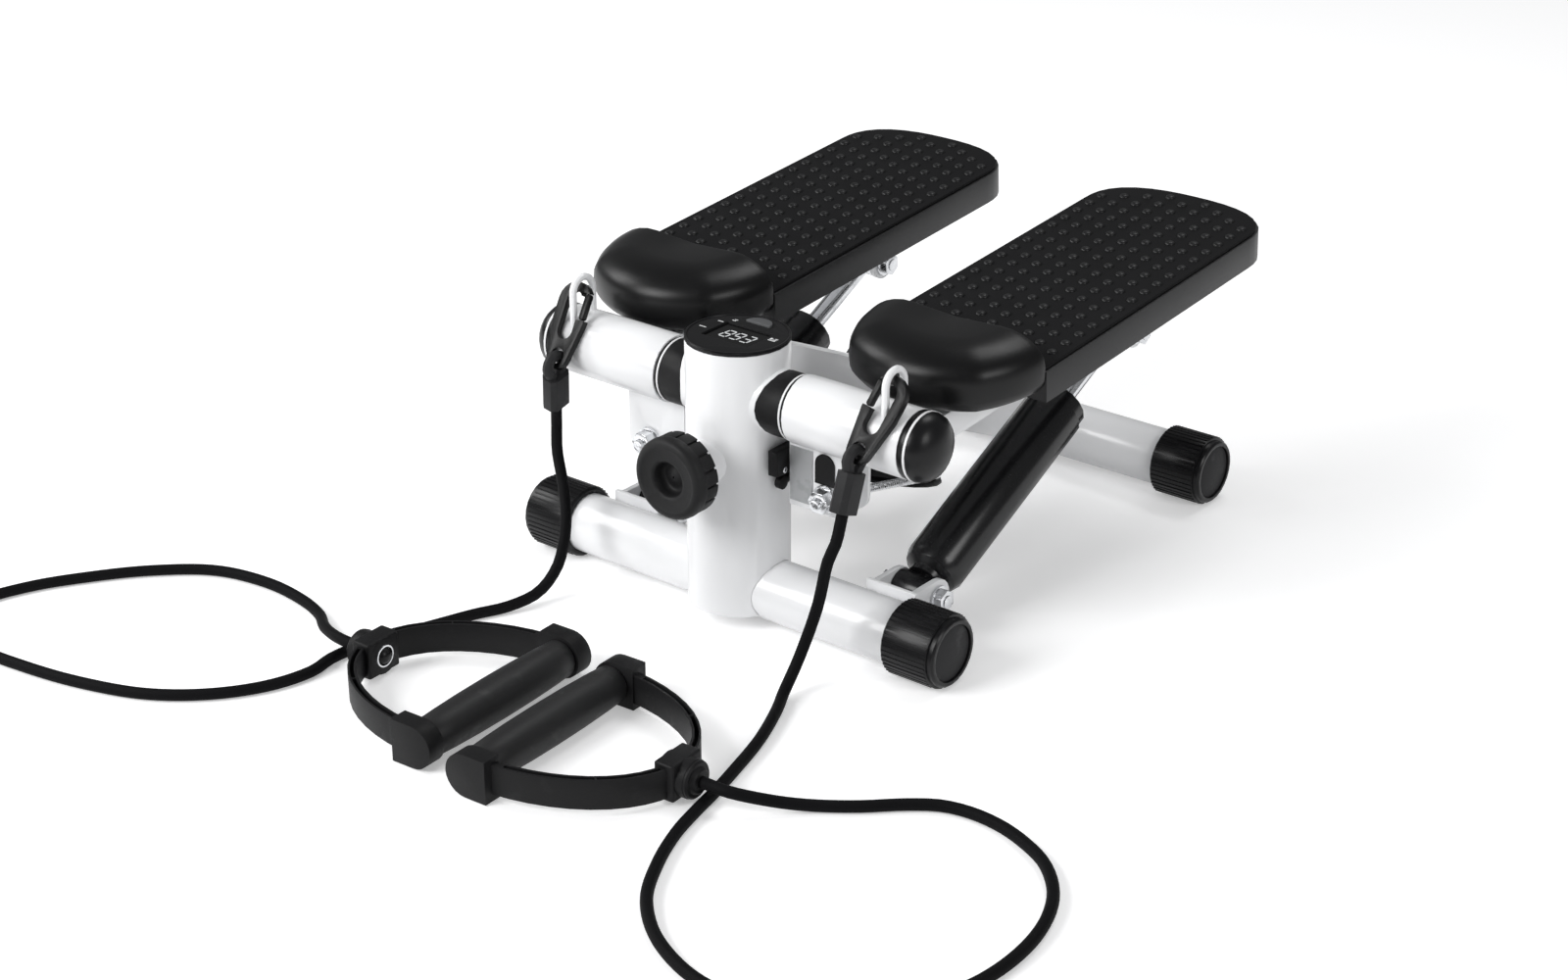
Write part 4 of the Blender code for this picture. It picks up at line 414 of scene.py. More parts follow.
def eased_copy(node, bevel, angle=32, finish=None, cutter=None):
    """The node's own solid, merged, with broken edges and a smooth skin."""
    source = nodes[node]
    item = bpy.data.objects.new(f"{node}_dressed", source.data.copy())
    bpy.context.scene.collection.objects.link(item)
    only(item)
    bpy.ops.object.mode_set(mode="EDIT")
    bpy.ops.mesh.select_all(action="SELECT")
    bpy.ops.mesh.remove_doubles(threshold=SAME_CORNER)
    bpy.ops.mesh.dissolve_limited(angle_limit=FLAT_ANGLE)
    bpy.ops.object.mode_set(mode="OBJECT")
    if cutter:
        carve(item, cutter)
    dress(item, finish or FINISHES[SLOTS[node]])
    finish_mesh(item, bevel, angle=angle)
    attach(item, source["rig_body"])
    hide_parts(node)


def arc(centre_x, centre_y, radius, start, end, steps):
    """Points on a circle, from one angle to another, in degrees."""
    angles = [math.radians(start + (end - start) * i / steps) for i in range(steps + 1)]
    return [(centre_x + radius * math.cos(a), centre_y + radius * math.sin(a)) for a in angles]


def smooth_route(points, spacing):
    """Evenly spaced points on a smooth curve through the route's own points."""
    fine = []
    ends = [2 * points[0] - points[1]] + points + [2 * points[-1] - points[-2]]
    for before, start, end, after in zip(ends, ends[1:], ends[2:], ends[3:]):
        spans = [math.sqrt((b - a).length) for a, b in
                 ((before, start), (start, end), (end, after))]
        leave = tangent(before, start, end, spans[0], spans[1]) * spans[1]
        arrive = tangent(start, end, after, spans[1], spans[2]) * spans[1]
        for i in range(ROUTE_STEPS):
            t = i / ROUTE_STEPS
            fine.append((2 * t ** 3 - 3 * t ** 2 + 1) * start + (t ** 3 - 2 * t ** 2 + t) * leave
                        + (3 * t ** 2 - 2 * t ** 3) * end + (t ** 3 - t ** 2) * arrive)
    fine.append(points[-1])
    lengths = [0.0]
    for a, b in zip(fine, fine[1:]):
        lengths.append(lengths[-1] + (b - a).length)
    count = round(lengths[-1] / spacing)
    route = []
    k = 0
    for i in range(count):
        wanted = lengths[-1] * i / count
        while lengths[k + 1] < wanted:
            k += 1
        route.append(fine[k].lerp(fine[k + 1], (wanted - lengths[k])
                                  / (lengths[k + 1] - lengths[k])))
    route.append(fine[-1])
    return route, lengths[-1]


def tangent(before, spot, after, span_before, span_after):
    """The way a smooth curve passes a spot between its two neighbours."""
    return ((spot - before) / span_before - (after - before) / (span_before + span_after)
            + (after - spot) / span_after)


def tubes(name, routes, radius, resolution, finish, angle):
    """Round tubes along the routes, made one mesh and smooth up to the angle, in degrees."""
    curve = bpy.data.curves.new(name, "CURVE")
    curve.dimensions = "3D"
    curve.bevel_depth = radius
    curve.bevel_resolution = resolution
    curve.use_fill_caps = True
    for route in routes:
        line = curve.splines.new("POLY")
        line.points.add(len(route) - 1)
        for spot, place in zip(line.points, route):
            spot.co = (*place, 1)
    item = bpy.data.objects.new(name, curve)
    bpy.context.scene.collection.objects.link(item)
    only(item)
    bpy.ops.object.convert(target="MESH")
    item = bpy.context.object
    dress(item, finish)
    return finish_mesh(item, angle=angle)


# Camera, floor and light

EYE = (0.9858, -1.1926 + FRONT_TUBE_Y, 0.7976)
TARGET = (-0.085, 0.150 + FRONT_TUBE_Y, 0.0012)
LENS = 65.22
SENSOR_WIDTH = 36
FLOOR_SIZE = 24
FLOOR_Z = -0.0002
FLOOR_GLOW = (0.34, 0.34, 0.34)
WORLD_COLOUR = (0.98, 0.99, 1.0, 1)
WORLD_LIGHT = 0.24
LAMP_AIM = Vector((0, 0, 0.1))
# Each lamp's name, place, width and power
LAMPS = (("front", (-0.8, -1.9, 1.35), 1.1, 39.0),
         ("right", (2.0, -0.3, 1.1), 0.8, 12.0),
         ("left", (-1.9, -0.6, 1.3), 0.9, 17.0),
         ("rear_top", (0.1, 1.2, 2.3), 1.0, 15.0))


def facing(place, target):
    """The turn of a camera or lamp at a place that looks at the target."""
    return (Vector(target) - Vector(place)).to_track_quat("-Z", "Y").to_euler()


def camera():
    """From the front right and above, with a long lens."""
    data = bpy.data.cameras.new("view")
    data.lens = LENS
    data.sensor_width = SENSOR_WIDTH
    item = bpy.data.objects.new("view", data)
    item.location = EYE
    item.rotation_euler = facing(EYE, TARGET)
    bpy.context.scene.collection.objects.link(item)
    bpy.context.scene.camera = item


def studio():
    """Pale floor that looks white to the camera, a dim even surround and soft lamps."""
    bpy.context.scene.view_settings.view_transform = "Standard"
    world = bpy.data.worlds.new("studio")
    bpy.context.scene.world = world
    world.use_nodes = True
    tree = world.node_tree
    tree.nodes.clear()
    out = tree.nodes.new("ShaderNodeOutputWorld")
    lit = tree.nodes.new("ShaderNodeBackground")
    lit.inputs[0].default_value = WORLD_COLOUR
    lit.inputs[1].default_value = WORLD_LIGHT
    tree.links.new(lit.outputs[0], out.inputs[0])

    bpy.ops.object.select_all(action="DESELECT")
    bpy.ops.mesh.primitive_plane_add(size=FLOOR_SIZE, location=(0, 0, FLOOR_Z))
    floor = bpy.context.object
    floor.name = "floor"
    pale = Finish("pale_floor", (0.93, 0.93, 0.935), 0.9, specular=0.0)
    rays = pale.tree.nodes.new("ShaderNodeLightPath")
    seen = [Wire(pale, rays.outputs[f"Is {kind} Ray"])
            for kind in ("Camera", "Glossy", "Transmission")]
    pale.set("Emission Color", pale.blend(seen[0] + seen[1] + seen[2], (0, 0, 0), FLOOR_GLOW))
    pale.set("Emission Strength", 1.0)
    dress(floor, pale)
    for name, place, size, power in LAMPS:
        lamp(name, place, size, power)


def lamp(name, place, size, power):
    """A soft square lamp that faces the machine."""
    data = bpy.data.lights.new(name, "AREA")
    data.shape = "SQUARE"
    data.size = size
    data.energy = power
    item = bpy.data.objects.new(name, data)
    item.location = place
    item.rotation_euler = facing(place, LAMP_AIM)
    bpy.context.scene.collection.objects.link(item)


# Bands

# Where each cord leaves its clamp, and which way
CLAMP_EXITS = {"right": ((0.109788, -0.083587, 0.112208), (0.0, -0.34202, -0.93969)),
               "left": ((-0.125103, -0.066471, 0.111385), (-0.24192, 0.23474, -0.94147))}
HANDLE_PLACES = {"right": (0.0216, -0.237595), "left": (-0.0223, -0.233295)}
HANDLE_TURN = math.radians(3)
HANDLE_Z = 0.0135
BOSS_END = 0.108
BOSS_GAP = 0.0003
# Places on each cord between clamp and handle; Y is measured from the front tube's axis
BAND_ROUTES = {
    "right": [(0.1065, -0.05, 0.085), (0.098, -0.049, 0.052), (0.091, -0.057, 0.020),
              (0.0925, -0.073, 0.0048), (0.100, -0.088, 0.0036), (0.1143, -0.122, 0.0036),
              (0.1241, -0.155, 0.0036), (0.1307, -0.18, 0.0036), (0.1355, -0.202, 0.0036),
              (0.1417, -0.2255, 0.0036), (0.1535, -0.254, 0.0036), (0.172, -0.284, 0.0036),
              (0.203, -0.309, 0.0036), (0.245, -0.322, 0.0036), (0.290, -0.312, 0.0036),
              (0.325, -0.283, 0.0036), (0.344, -0.24, 0.0036), (0.345, -0.192, 0.0036),
              (0.332, -0.154, 0.0036), (0.311, -0.13, 0.0036), (0.2906, -0.119, 0.0036),
              (0.2708, -0.113, 0.0036), (0.2509, -0.112, 0.0036), (0.2346, -0.116, 0.0036),
              (0.2196, -0.1265, 0.0036), (0.2003, -0.1445, 0.0036), (0.1815, -0.159, 0.004),
              (0.167, -0.172, 0.007)],
    "left": [(-0.1255, -0.0245, 0.080), (-0.1176, -0.03, 0.0685), (-0.1085, -0.037, 0.058),
             (-0.1015, -0.044, 0.047), (-0.0977, -0.051, 0.034), (-0.0978, -0.058, 0.020),
             (-0.1002, -0.072, 0.0085), (-0.107, -0.091, 0.0042), (-0.1168, -0.111, 0.0036),
             (-0.1244, -0.1325, 0.0036), (-0.135, -0.164, 0.0036), (-0.1427, -0.192, 0.0036),
             (-0.1432, -0.206, 0.0036), (-0.1405, -0.222, 0.0036), (-0.1468, -0.2491, 0.0036),
             (-0.1658, -0.2777, 0.0036), (-0.1945, -0.3005, 0.0036), (-0.2334, -0.3151, 0.0036),
             (-0.2742, -0.3233, 0.0036), (-0.3167, -0.326, 0.0036), (-0.3508, -0.3147, 0.0036),
             (-0.3661, -0.2888, 0.0036), (-0.3588, -0.2575, 0.0036), (-0.3411, -0.2261, 0.0036),
             (-0.3166, -0.1944, 0.0036), (-0.2855, -0.1695, 0.0036), (-0.2462, -0.1608, 0.0036),
             (-0.21, -0.164, 0.0036), (-0.19, -0.1705, 0.0038), (-0.1691, -0.1853, 0.0082),
             (-0.1497, -0.1942, 0.0119)],
}
# Straight stretch at the clamp and at the handle
BAND_STEP = 0.0175
HANDLE_STEP = {"right": 0.0175, "left": 0.006}
BAND_SPACING = 0.006
BAND_RESOLUTION = 5


def bands():
    """Elastic cords from the clamps to the handles."""
    for side, sign in SIDES.items():
        start, way = (Vector(v) for v in CLAMP_EXITS[side])
        x, y = HANDLE_PLACES[side]
        out = Vector((sign * math.cos(HANDLE_TURN), math.sin(HANDLE_TURN) * sign, 0))
        end = Vector((x, y, HANDLE_Z)) + out * (BOSS_END + BOSS_GAP)
        route = [start, start + way * BAND_STEP]
        route += [Vector((px, py + FRONT_TUBE_Y, pz)) for px, py, pz in BAND_ROUTES[side]]
        route += [end + out * HANDLE_STEP[side], end]
        path, length = smooth_route(route, BAND_SPACING)
        band = tubes(f"band_cord_{side}", [path], BAND_RADIUS, BAND_RESOLUTION,
                     FINISHES["band_black"], 50)
        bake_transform(band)
        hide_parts(f"band_{side}")


# Small helpers for repeated shapes

def joined(name, items, finish, body, turn=None):
    """Joins the pieces into one, named and dressed, riding on the body."""
    bpy.ops.object.select_all(action="DESELECT")
    for item in items:
        item.select_set(True)
    bpy.context.view_layer.objects.active = items[0]
    bpy.ops.object.join()
    item = bpy.context.object
    item.name = item.data.name = name
    settle(item, turn)
    dress(item, finish)
    only(item)
    bpy.ops.object.shade_smooth_by_angle(angle=math.radians(SMOOTH_ANGLE))
    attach(item, body)
    return item


def copied(item, turn):
    """A copy with its own mesh, turned or moved."""
    twin = item.copy()
    twin.data = item.data.copy()
    twin.matrix_world = turn @ item.matrix_world
    bpy.context.scene.collection.objects.link(twin)
    return twin


def block(name, low, high):
    """A box between two corners."""
    low, high = Vector(low), Vector(high)
    bpy.ops.object.select_all(action="DESELECT")
    bpy.ops.mesh.primitive_cube_add(size=1, location=(low + high) / 2, scale=high - low)
    item = bpy.context.object
    item.name = item.data.name = name
    return item


def carve(item, cutter):
    """Cuts one solid out of another, and removes the cutter."""
    only(item)
    cut = item.modifiers.new("cut", "BOOLEAN")
    cut.operation = "DIFFERENCE"
    cut.solver = "EXACT"
    cut.object = cutter
    bpy.ops.object.modifier_apply(modifier=cut.name)
    bpy.data.objects.remove(cutter)
    return item


def at(x=0.0, y=0.0, z=0.0):
    """Machine place: Y measured from the front tube's axis."""
    return Matrix.Translation((x, y + FRONT_TUBE_Y, z))


ALONG_X = Matrix.Rotation(math.pi / 2, 4, "Y")
AGAINST_Y = Matrix.Rotation(math.pi / 2, 4, "X")
BOARD = Matrix.Translation((0, FRONT_TUBE_Y, SHAFT_Z)) @ Matrix.Rotation(PEDAL_TILT, 4, "X")


def super_point(angle, half_x, half_y, power):
    """A point on an oval whose corners grow squarer as the power rises."""
    c, s = math.cos(angle), math.sin(angle)
    return (math.copysign(abs(c) ** (2 / power), c) * half_x,
            math.copysign(abs(s) ** (2 / power), s) * half_y)


# Pedals

PEDAL_X = 0.1002
MAT_HALF = 0.0605
MAT_FRONT = 0.0842
TREAD_TOP = 0.0218
# The heel's end is a flat oval of this depth and power, which starts at the base
HEEL_BASE = 0.312
HEEL_DEPTH = 0.0381
HEEL_POWER = 2.5
# Lines of studs on each side of the middle one, their spacing, and the pitch along a line
STUD_LINES = 4
STUD_LINE = 0.0131
STUD_PITCH = 0.0143
STUD_MARGIN = 0.0052
STUD_RADIUS = 0.0033
STUD_RISE = 0.0017
STUD_PROFILE = [(STUD_RADIUS, -0.0004), (STUD_RADIUS, 0.0002),
                (STUD_RADIUS * 0.86, STUD_RISE * 0.55), (STUD_RADIUS * 0.55, STUD_RISE * 0.9),
                (0, STUD_RISE)]
# The toe cup: its half width, rear face, reach over and under the tread, and its shaping
CUP_HALF = 0.0619
CUP_REAR = 0.0836
CUP_RISE = 0.0222
CUP_DROP = 0.0208
CUP_POWER = 2.5
CUP_UNDER_POWER = 3.8
CUP_SQUARENESS = 0.12
CUP_DIP = 0.0045
CUP_DIP_REACH = 0.042
CUP_LIP = 0.0035
CUP_SCOOP = 0.007
CUP_STEPS = 18
CUP_BEVEL = 0.0012


def on_mat(x, y, margin):
    """Whether a point of the board is on the mat, at least the margin from its edge."""
    if abs(x) > MAT_HALF - margin or y < MAT_FRONT + margin:
        return False
    if y < HEEL_BASE:
        return True
    share = abs(x) / (MAT_HALF - margin)
    return y < (HEEL_BASE + (HEEL_DEPTH - margin)
                * (1 - share ** HEEL_POWER) ** (1 / HEEL_POWER))


def studs(side):
    """Staggered round studs over the whole mat."""
    stud = turned("stud", STUD_PROFILE, STUD_SHINE, sides=STUD_SIDES)
    items = []
    for line in range(-STUD_LINES, STUD_LINES + 1):
        x = line * STUD_LINE
        y = MAT_FRONT + STUD_MARGIN + (STUD_PITCH / 2 if line % 2 else 0)
        while y < HEEL_BASE + HEEL_DEPTH:
            if on_mat(x, y, STUD_MARGIN):
                items.append(copied(stud, Matrix.Translation((PEDAL_X * SIDES[side] + x, y,
                                                              TREAD_TOP))))
            y += STUD_PITCH
    bpy.data.objects.remove(stud)
    joined(f"tread_studs_{side}", items, STUD_SHINE, f"pedal_{side}", BOARD)


def toe_cup(side):
    """A half dome over the toes, with a sagging rim and a scooped rear face."""
    middle, half = (CUP_RISE - CUP_DROP) / 2, (CUP_RISE + CUP_DROP) / 2
    item = point(f"cup_{side}")
    angles = [math.radians(90 - 180 * i / CUP_STEPS) for i in range(CUP_STEPS + 1)]
    profile = [super_point(angle, CUP_HALF, half, CUP_POWER if angle > 0 else CUP_UNDER_POWER)
               for angle in angles]
    draw([(radius, 0, middle + height) for radius, height in profile])
    bpy.ops.mesh.select_all(action="SELECT")
    bpy.ops.mesh.spin(steps=2 * CUP_STEPS, angle=math.pi, center=(0, 0, 0), axis=(0, 0, 1))
    bpy.ops.mesh.select_all(action="SELECT")
    bpy.ops.mesh.remove_doubles(threshold=SAME_SPOT)
    bpy.ops.mesh.region_to_loop()
    bpy.ops.mesh.edge_face_add()
    bpy.ops.mesh.select_mode(type="FACE")
    bpy.ops.mesh.inset(thickness=CUP_LIP)
    bpy.ops.transform.translate(value=(0, -CUP_SCOOP, 0))
    bpy.ops.mesh.select_mode(type="VERT")
    bpy.ops.mesh.select_all(action="DESELECT")
    bpy.ops.object.mode_set(mode="OBJECT")
    top = max(item.data.vertices, key=lambda v: v.co.z)
    top.select = True
    bpy.ops.object.mode_set(mode="EDIT")
    bpy.ops.transform.translate(value=(0, 0, -CUP_DIP), use_proportional_edit=True,
                                proportional_edit_falloff="SMOOTH",
                                proportional_size=CUP_DIP_REACH)
    bpy.ops.mesh.select_all(action="SELECT")
    bpy.ops.mesh.normals_make_consistent(inside=False)
    bpy.ops.object.mode_set(mode="OBJECT")
    square = item.modifiers.new("square", "CAST")
    square.cast_type = "CUBOID"
    square.factor = CUP_SQUARENESS
    square.size = CUP_HALF
    square.use_radius_as_size = False
    square.use_z = False
    only(item)
    bpy.ops.object.modifier_apply(modifier=square.name)
    settle(item, BOARD @ Matrix.Translation((PEDAL_X * SIDES[side], CUP_REAR, TREAD_TOP)))
    dress(item, CUP_GLOSS)
    finish_mesh(item, CUP_BEVEL, angle=50)
    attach(item, f"pedal_{side}")
    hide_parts(f"toe_cup_{side}")


def pedals():
    """Studs and toe cup of both footboards."""
    for side in SIDES:
        studs(side)
        toe_cup(side)


# Rings of the sleeves

RING_DEPTH = 0.0016
RING_OVERLAP = 0.0001


def rings():
    """White trim rings in the grooves of the bushes and the end domes."""
    for side, sign in SIDES.items():
        for name, body, x, width, radius in (
                ("bush_ring", "base", 0.0459, 0.0010, 0.0201),
                ("dome_ring", f"pedal_{side}", 0.1355, 0.0013, 0.0211)):
            low, high = sorted((sign * (x - RING_OVERLAP), sign * (x + width + RING_OVERLAP)))
            inner = radius - RING_DEPTH
            ring = turned(f"{name}_{side}",
                          [(inner, low), (radius, low), (radius, high), (inner, high)],
                          WHITE_TRIM, at(0, 0, SHAFT_Z) @ ALONG_X, sides=FINE_SIDES)
            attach(ring, body)


# Foot caps

CAP_RADIUS = 0.0228
CAP_Z = 0.0222
# Each tube's Y and the reach of its caps' end faces
CAP_ENDS = {"front": (0.0, 0.1597), "rear": (0.3126, 0.1475)}
CAP_RIBS = 44
# A rib runs between these distances from the end face, and none is lower than the floor gap
RIB_START = 0.0352
RIB_END = 0.0046
RIB_HALF = 0.0005
RIB_SINK = 0.0002
RIB_RISE = 0.00035
RIB_FLOOR_GAP = 0.0035
# Radius and distance from the end face, round the disc's edge
DISC_PROFILE = ((0, 0.0019), (0.0174, 0.0019), (0.0174, 0.0015), (0.0168, 0.0011), (0, 0.0010))


def cap_trim():
    """Lengthwise ribs round each cap and the matt disc in its end."""
    for end, (y, reach) in CAP_ENDS.items():
        for side, sign in SIDES.items():
            items = []
            for i in range(CAP_RIBS):
                angle = 2 * math.pi * i / CAP_RIBS
                if math.sin(angle) * CAP_RADIUS + CAP_Z < RIB_FLOOR_GAP:
                    continue
                rib = block("rib", (reach - RIB_START, -RIB_HALF, -RIB_SINK),
                            (reach - RIB_END, RIB_HALF, RIB_RISE))
                rib.matrix_world = (Matrix.Translation((0, y + FRONT_TUBE_Y, CAP_Z))
                                    @ Matrix.Rotation(angle - math.pi / 2, 4, "X")
                                    @ Matrix.Translation((0, 0, CAP_RADIUS)) @ rib.matrix_world)
                items.append(rib)
            turn = MIRROR_X if sign < 0 else None
            ribs = joined(f"cap_ribs_{end}_{side}", items, FINISHES["cap_black"], "base", turn)
            outward(ribs)
            disc = turned(f"cap_disc_{end}_{side}",
                          [(radius, reach - depth) for radius, depth in DISC_PROFILE], CAP_FACE,
                          (MIRROR_X if sign < 0 else Matrix.Identity(4))
                          @ Matrix.Translation((0, y + FRONT_TUBE_Y, CAP_Z)) @ ALONG_X)
            outward(disc)
            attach(disc, "base")


def outward(item):
    """Faces outward again after a mirrored turn."""
    only(item)
    bpy.ops.object.mode_set(mode="EDIT")
    bpy.ops.mesh.select_all(action="SELECT")
    bpy.ops.mesh.normals_make_consistent(inside=False)
    bpy.ops.object.mode_set(mode="OBJECT")


# Display

SEGMENTS = {"8": "abcdefg", "9": "abcdfg", "3": "abcdg"}
DIGIT_WIDTH = 0.0052
DIGIT_HEIGHT = 0.0098
SEGMENT_WIDTH = 0.0009
SEGMENT_GAP = SEGMENT_WIDTH * 0.62
DIGIT_PITCH = 0.0078
DIGIT_RISE = 0.00012
DIGITS_X = 0.0012
DIGITS_Y = -0.0012
SLANT = math.radians(8)
GLASS_TOP = 0.1798
GLASS_BEVEL = 0.0001
GLASS_CORNERS = ((-0.0172, -0.0127, GLASS_TOP - 0.0006), (0.0172, 0.0117, GLASS_TOP))
PRINT_TOP = 0.18108
PRINT_DEPTH = 0.0001
# Corners of the strokes of print round the window
MARKS = ((-0.0262, -0.0040, -0.0212, -0.0032), (-0.0225, 0.0088, -0.0185, 0.0096),
         (-0.0164, 0.0146, -0.0136, 0.0153), (-0.0156, 0.0162, -0.0132, 0.0168),
         (0.0196, 0.0034, 0.0248, 0.0042), (0.0196, 0.0050, 0.0212, 0.0072),
         (0.0220, 0.0050, 0.0248, 0.0057), (0.0226, 0.0066, 0.0248, 0.0072))
RIM_PROFILE = [(0.0300, 0.1805), (0.0313, 0.1805), (0.0316, 0.1811), (0.0311, 0.1815),
               (0.0303, 0.1814)]


def segment_boxes():
    """Each segment of a digit as a low and a high corner about the digit's middle."""
    w, h, t = DIGIT_WIDTH / 2, DIGIT_HEIGHT / 2, SEGMENT_WIDTH / 2
    across = {"a": h, "g": 0, "d": -h}
    upright = {"b": (w, 0, h), "c": (w, -h, 0), "e": (-w, -h, 0), "f": (-w, 0, h)}
    boxes = {key: ((-w + SEGMENT_GAP, y - t), (w - SEGMENT_GAP, y + t))
             for key, y in across.items()}
    for key, (x, low, high) in upright.items():
        boxes[key] = ((x - t, low + SEGMENT_GAP), (x + t, high - SEGMENT_GAP))
    return boxes


def display():
    """Digits on a dark glass, strokes of print and a raised rim."""
    boxes = segment_boxes()
    lean = Matrix.Identity(4)
    lean[0][1] = math.tan(SLANT)
    items = []
    for place, digit in enumerate("893"):
        for key in SEGMENTS[digit]:
            (x0, y0), (x1, y1) = boxes[key]
            bar = settle(block("bar", (x0, y0, 0), (x1, y1, DIGIT_RISE)))
            bar.data.transform(lean)
            bar.matrix_world = Matrix.Translation((DIGITS_X + (place - 1) * DIGIT_PITCH,
                                                   DIGITS_Y, 0))
            items.append(bar)
    joined("display_digits", items, LCD_SEGMENT, "base", at(0, 0, GLASS_TOP))
    glass = block("display_glass", *GLASS_CORNERS)
    settle(glass, at())
    dress(glass, FINISHES["window"])
    finish_mesh(glass, GLASS_BEVEL, 1)
    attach(glass, "base")
    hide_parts("display_window")
    strokes = [block("mark", (x0, y0, PRINT_TOP - PRINT_DEPTH), (x1, y1, PRINT_TOP))
               for x0, y0, x1, y1 in MARKS]
    joined("display_marks", strokes, WHITE_PRINT, "base", at())
    rim = turned("display_rim", RIM_PROFILE, FINISHES["cap_black"], at(), sides=FINE_SIDES)
    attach(rim, "base")


# Handles

STRAP_REACH = 0.096
STRAP_HALF_SPAN = 0.065
STRAP_THICKNESS = 0.0052
STRAP_HEIGHT = 0.018
STRAP_BEVEL = 0.00035
STRAP_ANGLE = 30
CHANNEL_WALL = 0.0014
CHANNEL_DEPTH = 0.0085
# Start and end of each cell, in degrees from the strap's middle
CHANNEL_CELLS = ((13, 42), (42.7, 77))
CELL_STEPS = 12
CELL_CLEARANCE = 0.002
GRIP_REACH = 0.0577
GRIP_BORE = 0.0083
GRIP_END = GRIP_REACH - 0.0012
# Radius and place along the foam grip, from its middle to its end
GRIP_HALF = [(0.0131, 0), (0.0129, GRIP_REACH * 0.4), (0.0123, GRIP_REACH * 0.75),
             (0.0116, GRIP_END), (0.0108, GRIP_REACH), (GRIP_BORE, GRIP_REACH)]
GRIP_SIDES = 72
# The cord's socket: how far out its inner face lies, its round parts and its block
SOCKET = 0.085
RING_PROFILE = [(0.0059, SOCKET - 0.0008), (0.0068, SOCKET - 0.0008), (0.0070, SOCKET),
                (0.0057, SOCKET)]
KNOT_PROFILE = [(0, SOCKET - 0.0034), (0.0024, SOCKET - 0.0030), (0.0044, SOCKET - 0.0016),
                (0.0053, SOCKET), (0, SOCKET)]
COLLAR_PROFILE = [(0.0076, 0.0990), (0.0104, 0.0990), (0.0110, 0.1002), (0.0110, 0.1046),
                  (0.0100, 0.1056), (0.0076, 0.1056)]
BLOCK_BEVEL = 0.0016
BLOCK_CORNERS = ((SOCKET + 0.0001, -0.0128, -0.0112), (SOCKET + 0.0134, 0.0128, 0.0116))


def handle_frame(side):
    """Its place on the floor, mirrored for the left hand side."""
    x, y = HANDLE_PLACES[side]
    turn = Matrix.Translation((x, y, HANDLE_Z)) @ Matrix.Rotation(HANDLE_TURN, 4, "Z")
    return turn @ MIRROR_X if side == "left" else turn


def strap_cell(start, end):
    """Cutter for one cell of the strap's open channel."""
    turns = [start + (end - start) * i / CELL_STEPS for i in range(CELL_STEPS + 1)]
    outer = [((STRAP_REACH - CHANNEL_WALL) * math.cos(t),
              (STRAP_HALF_SPAN - CHANNEL_WALL) * math.sin(t)) for t in turns]
    inset = STRAP_THICKNESS - CHANNEL_WALL
    inner = [((STRAP_REACH - inset) * math.cos(t), (STRAP_HALF_SPAN - inset) * math.sin(t))
             for t in reversed(turns)]
    top = STRAP_HEIGHT / 2
    return drawn_out("cell", outer + inner, top - CHANNEL_DEPTH, top + CELL_CLEARANCE,
                     FINISHES["satin_black"])


def handles():
    """Straps with an open channel, foam grips, and the sockets that hold the cords."""
    for side in SIDES:
        frame_turn = handle_frame(side)
        cells = []
        for half in (1, -1):
            for low, high in CHANNEL_CELLS:
                cells.append(strap_cell(*sorted((half * math.radians(low),
                                                 half * math.radians(high)))))
        only(cells[0])
        for cell in cells:
            cell.select_set(True)
        bpy.ops.object.join()
        cutter = settle(bpy.context.object, frame_turn)
        if side == "left":
            outward(cutter)
        eased_copy(f"handle_frame_{side}", STRAP_BEVEL, STRAP_ANGLE, cutter=cutter)
        profile = [(radius, -height) for radius, height in reversed(GRIP_HALF[1:])] + GRIP_HALF
        grip = turned(f"foam_grip_{side}", profile, FOAM, frame_turn @ AGAINST_Y,
                      sides=GRIP_SIDES, angle=50)
        outward(grip)
        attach(grip, f"grip_{side}")
        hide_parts(f"handle_grip_{side}")
        for name, profile, finish in (
                ("socket_ring", RING_PROFILE, FINISHES["bright_steel"]),
                ("cord_knot", KNOT_PROFILE, CUP_GLOSS),
                ("socket_collar", COLLAR_PROFILE, FINISHES["satin_black"])):
            round_part = turned(f"{name}_{side}", profile, finish, frame_turn @ ALONG_X)
            outward(round_part)
            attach(round_part, nodes[f"handle_frame_{side}"]["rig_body"])
        socket = block(f"socket_block_{side}", *BLOCK_CORNERS)
        settle(socket, frame_turn)
        dress(socket, FINISHES["satin_black"])
        outward(socket)
        finish_mesh(socket, BLOCK_BEVEL, 3)
        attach(socket, nodes[f"handle_frame_{side}"]["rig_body"])


# Drive rope

STRANDS = 3
STRAND_RADIUS = 0.0013
STRAND_SWING = 0.0015
ROPE_TWIST = 0.0085
ROPE_STEP = 0.0008
ROPE_WRAP = 80
ROPE_HALF_SPAN = 0.068
ROPE_START_Y = 0.0046
PULLEY_ROPE_RADIUS = 0.046
PULLEY_Y = 0.128
# Cosine and sine of the pulley's tilt
TILT_COS, TILT_SIN = 0.95351, 0.30135
PULLEY_TURN = Matrix(((1, 0, 0, 0), (0, TILT_COS, TILT_SIN, 0), (0, -TILT_SIN, TILT_COS, 0),
                      (0, 0, 0, 1)))
PULLEY = Matrix.Translation((0, 0.085705, 0.056)) @ PULLEY_TURN


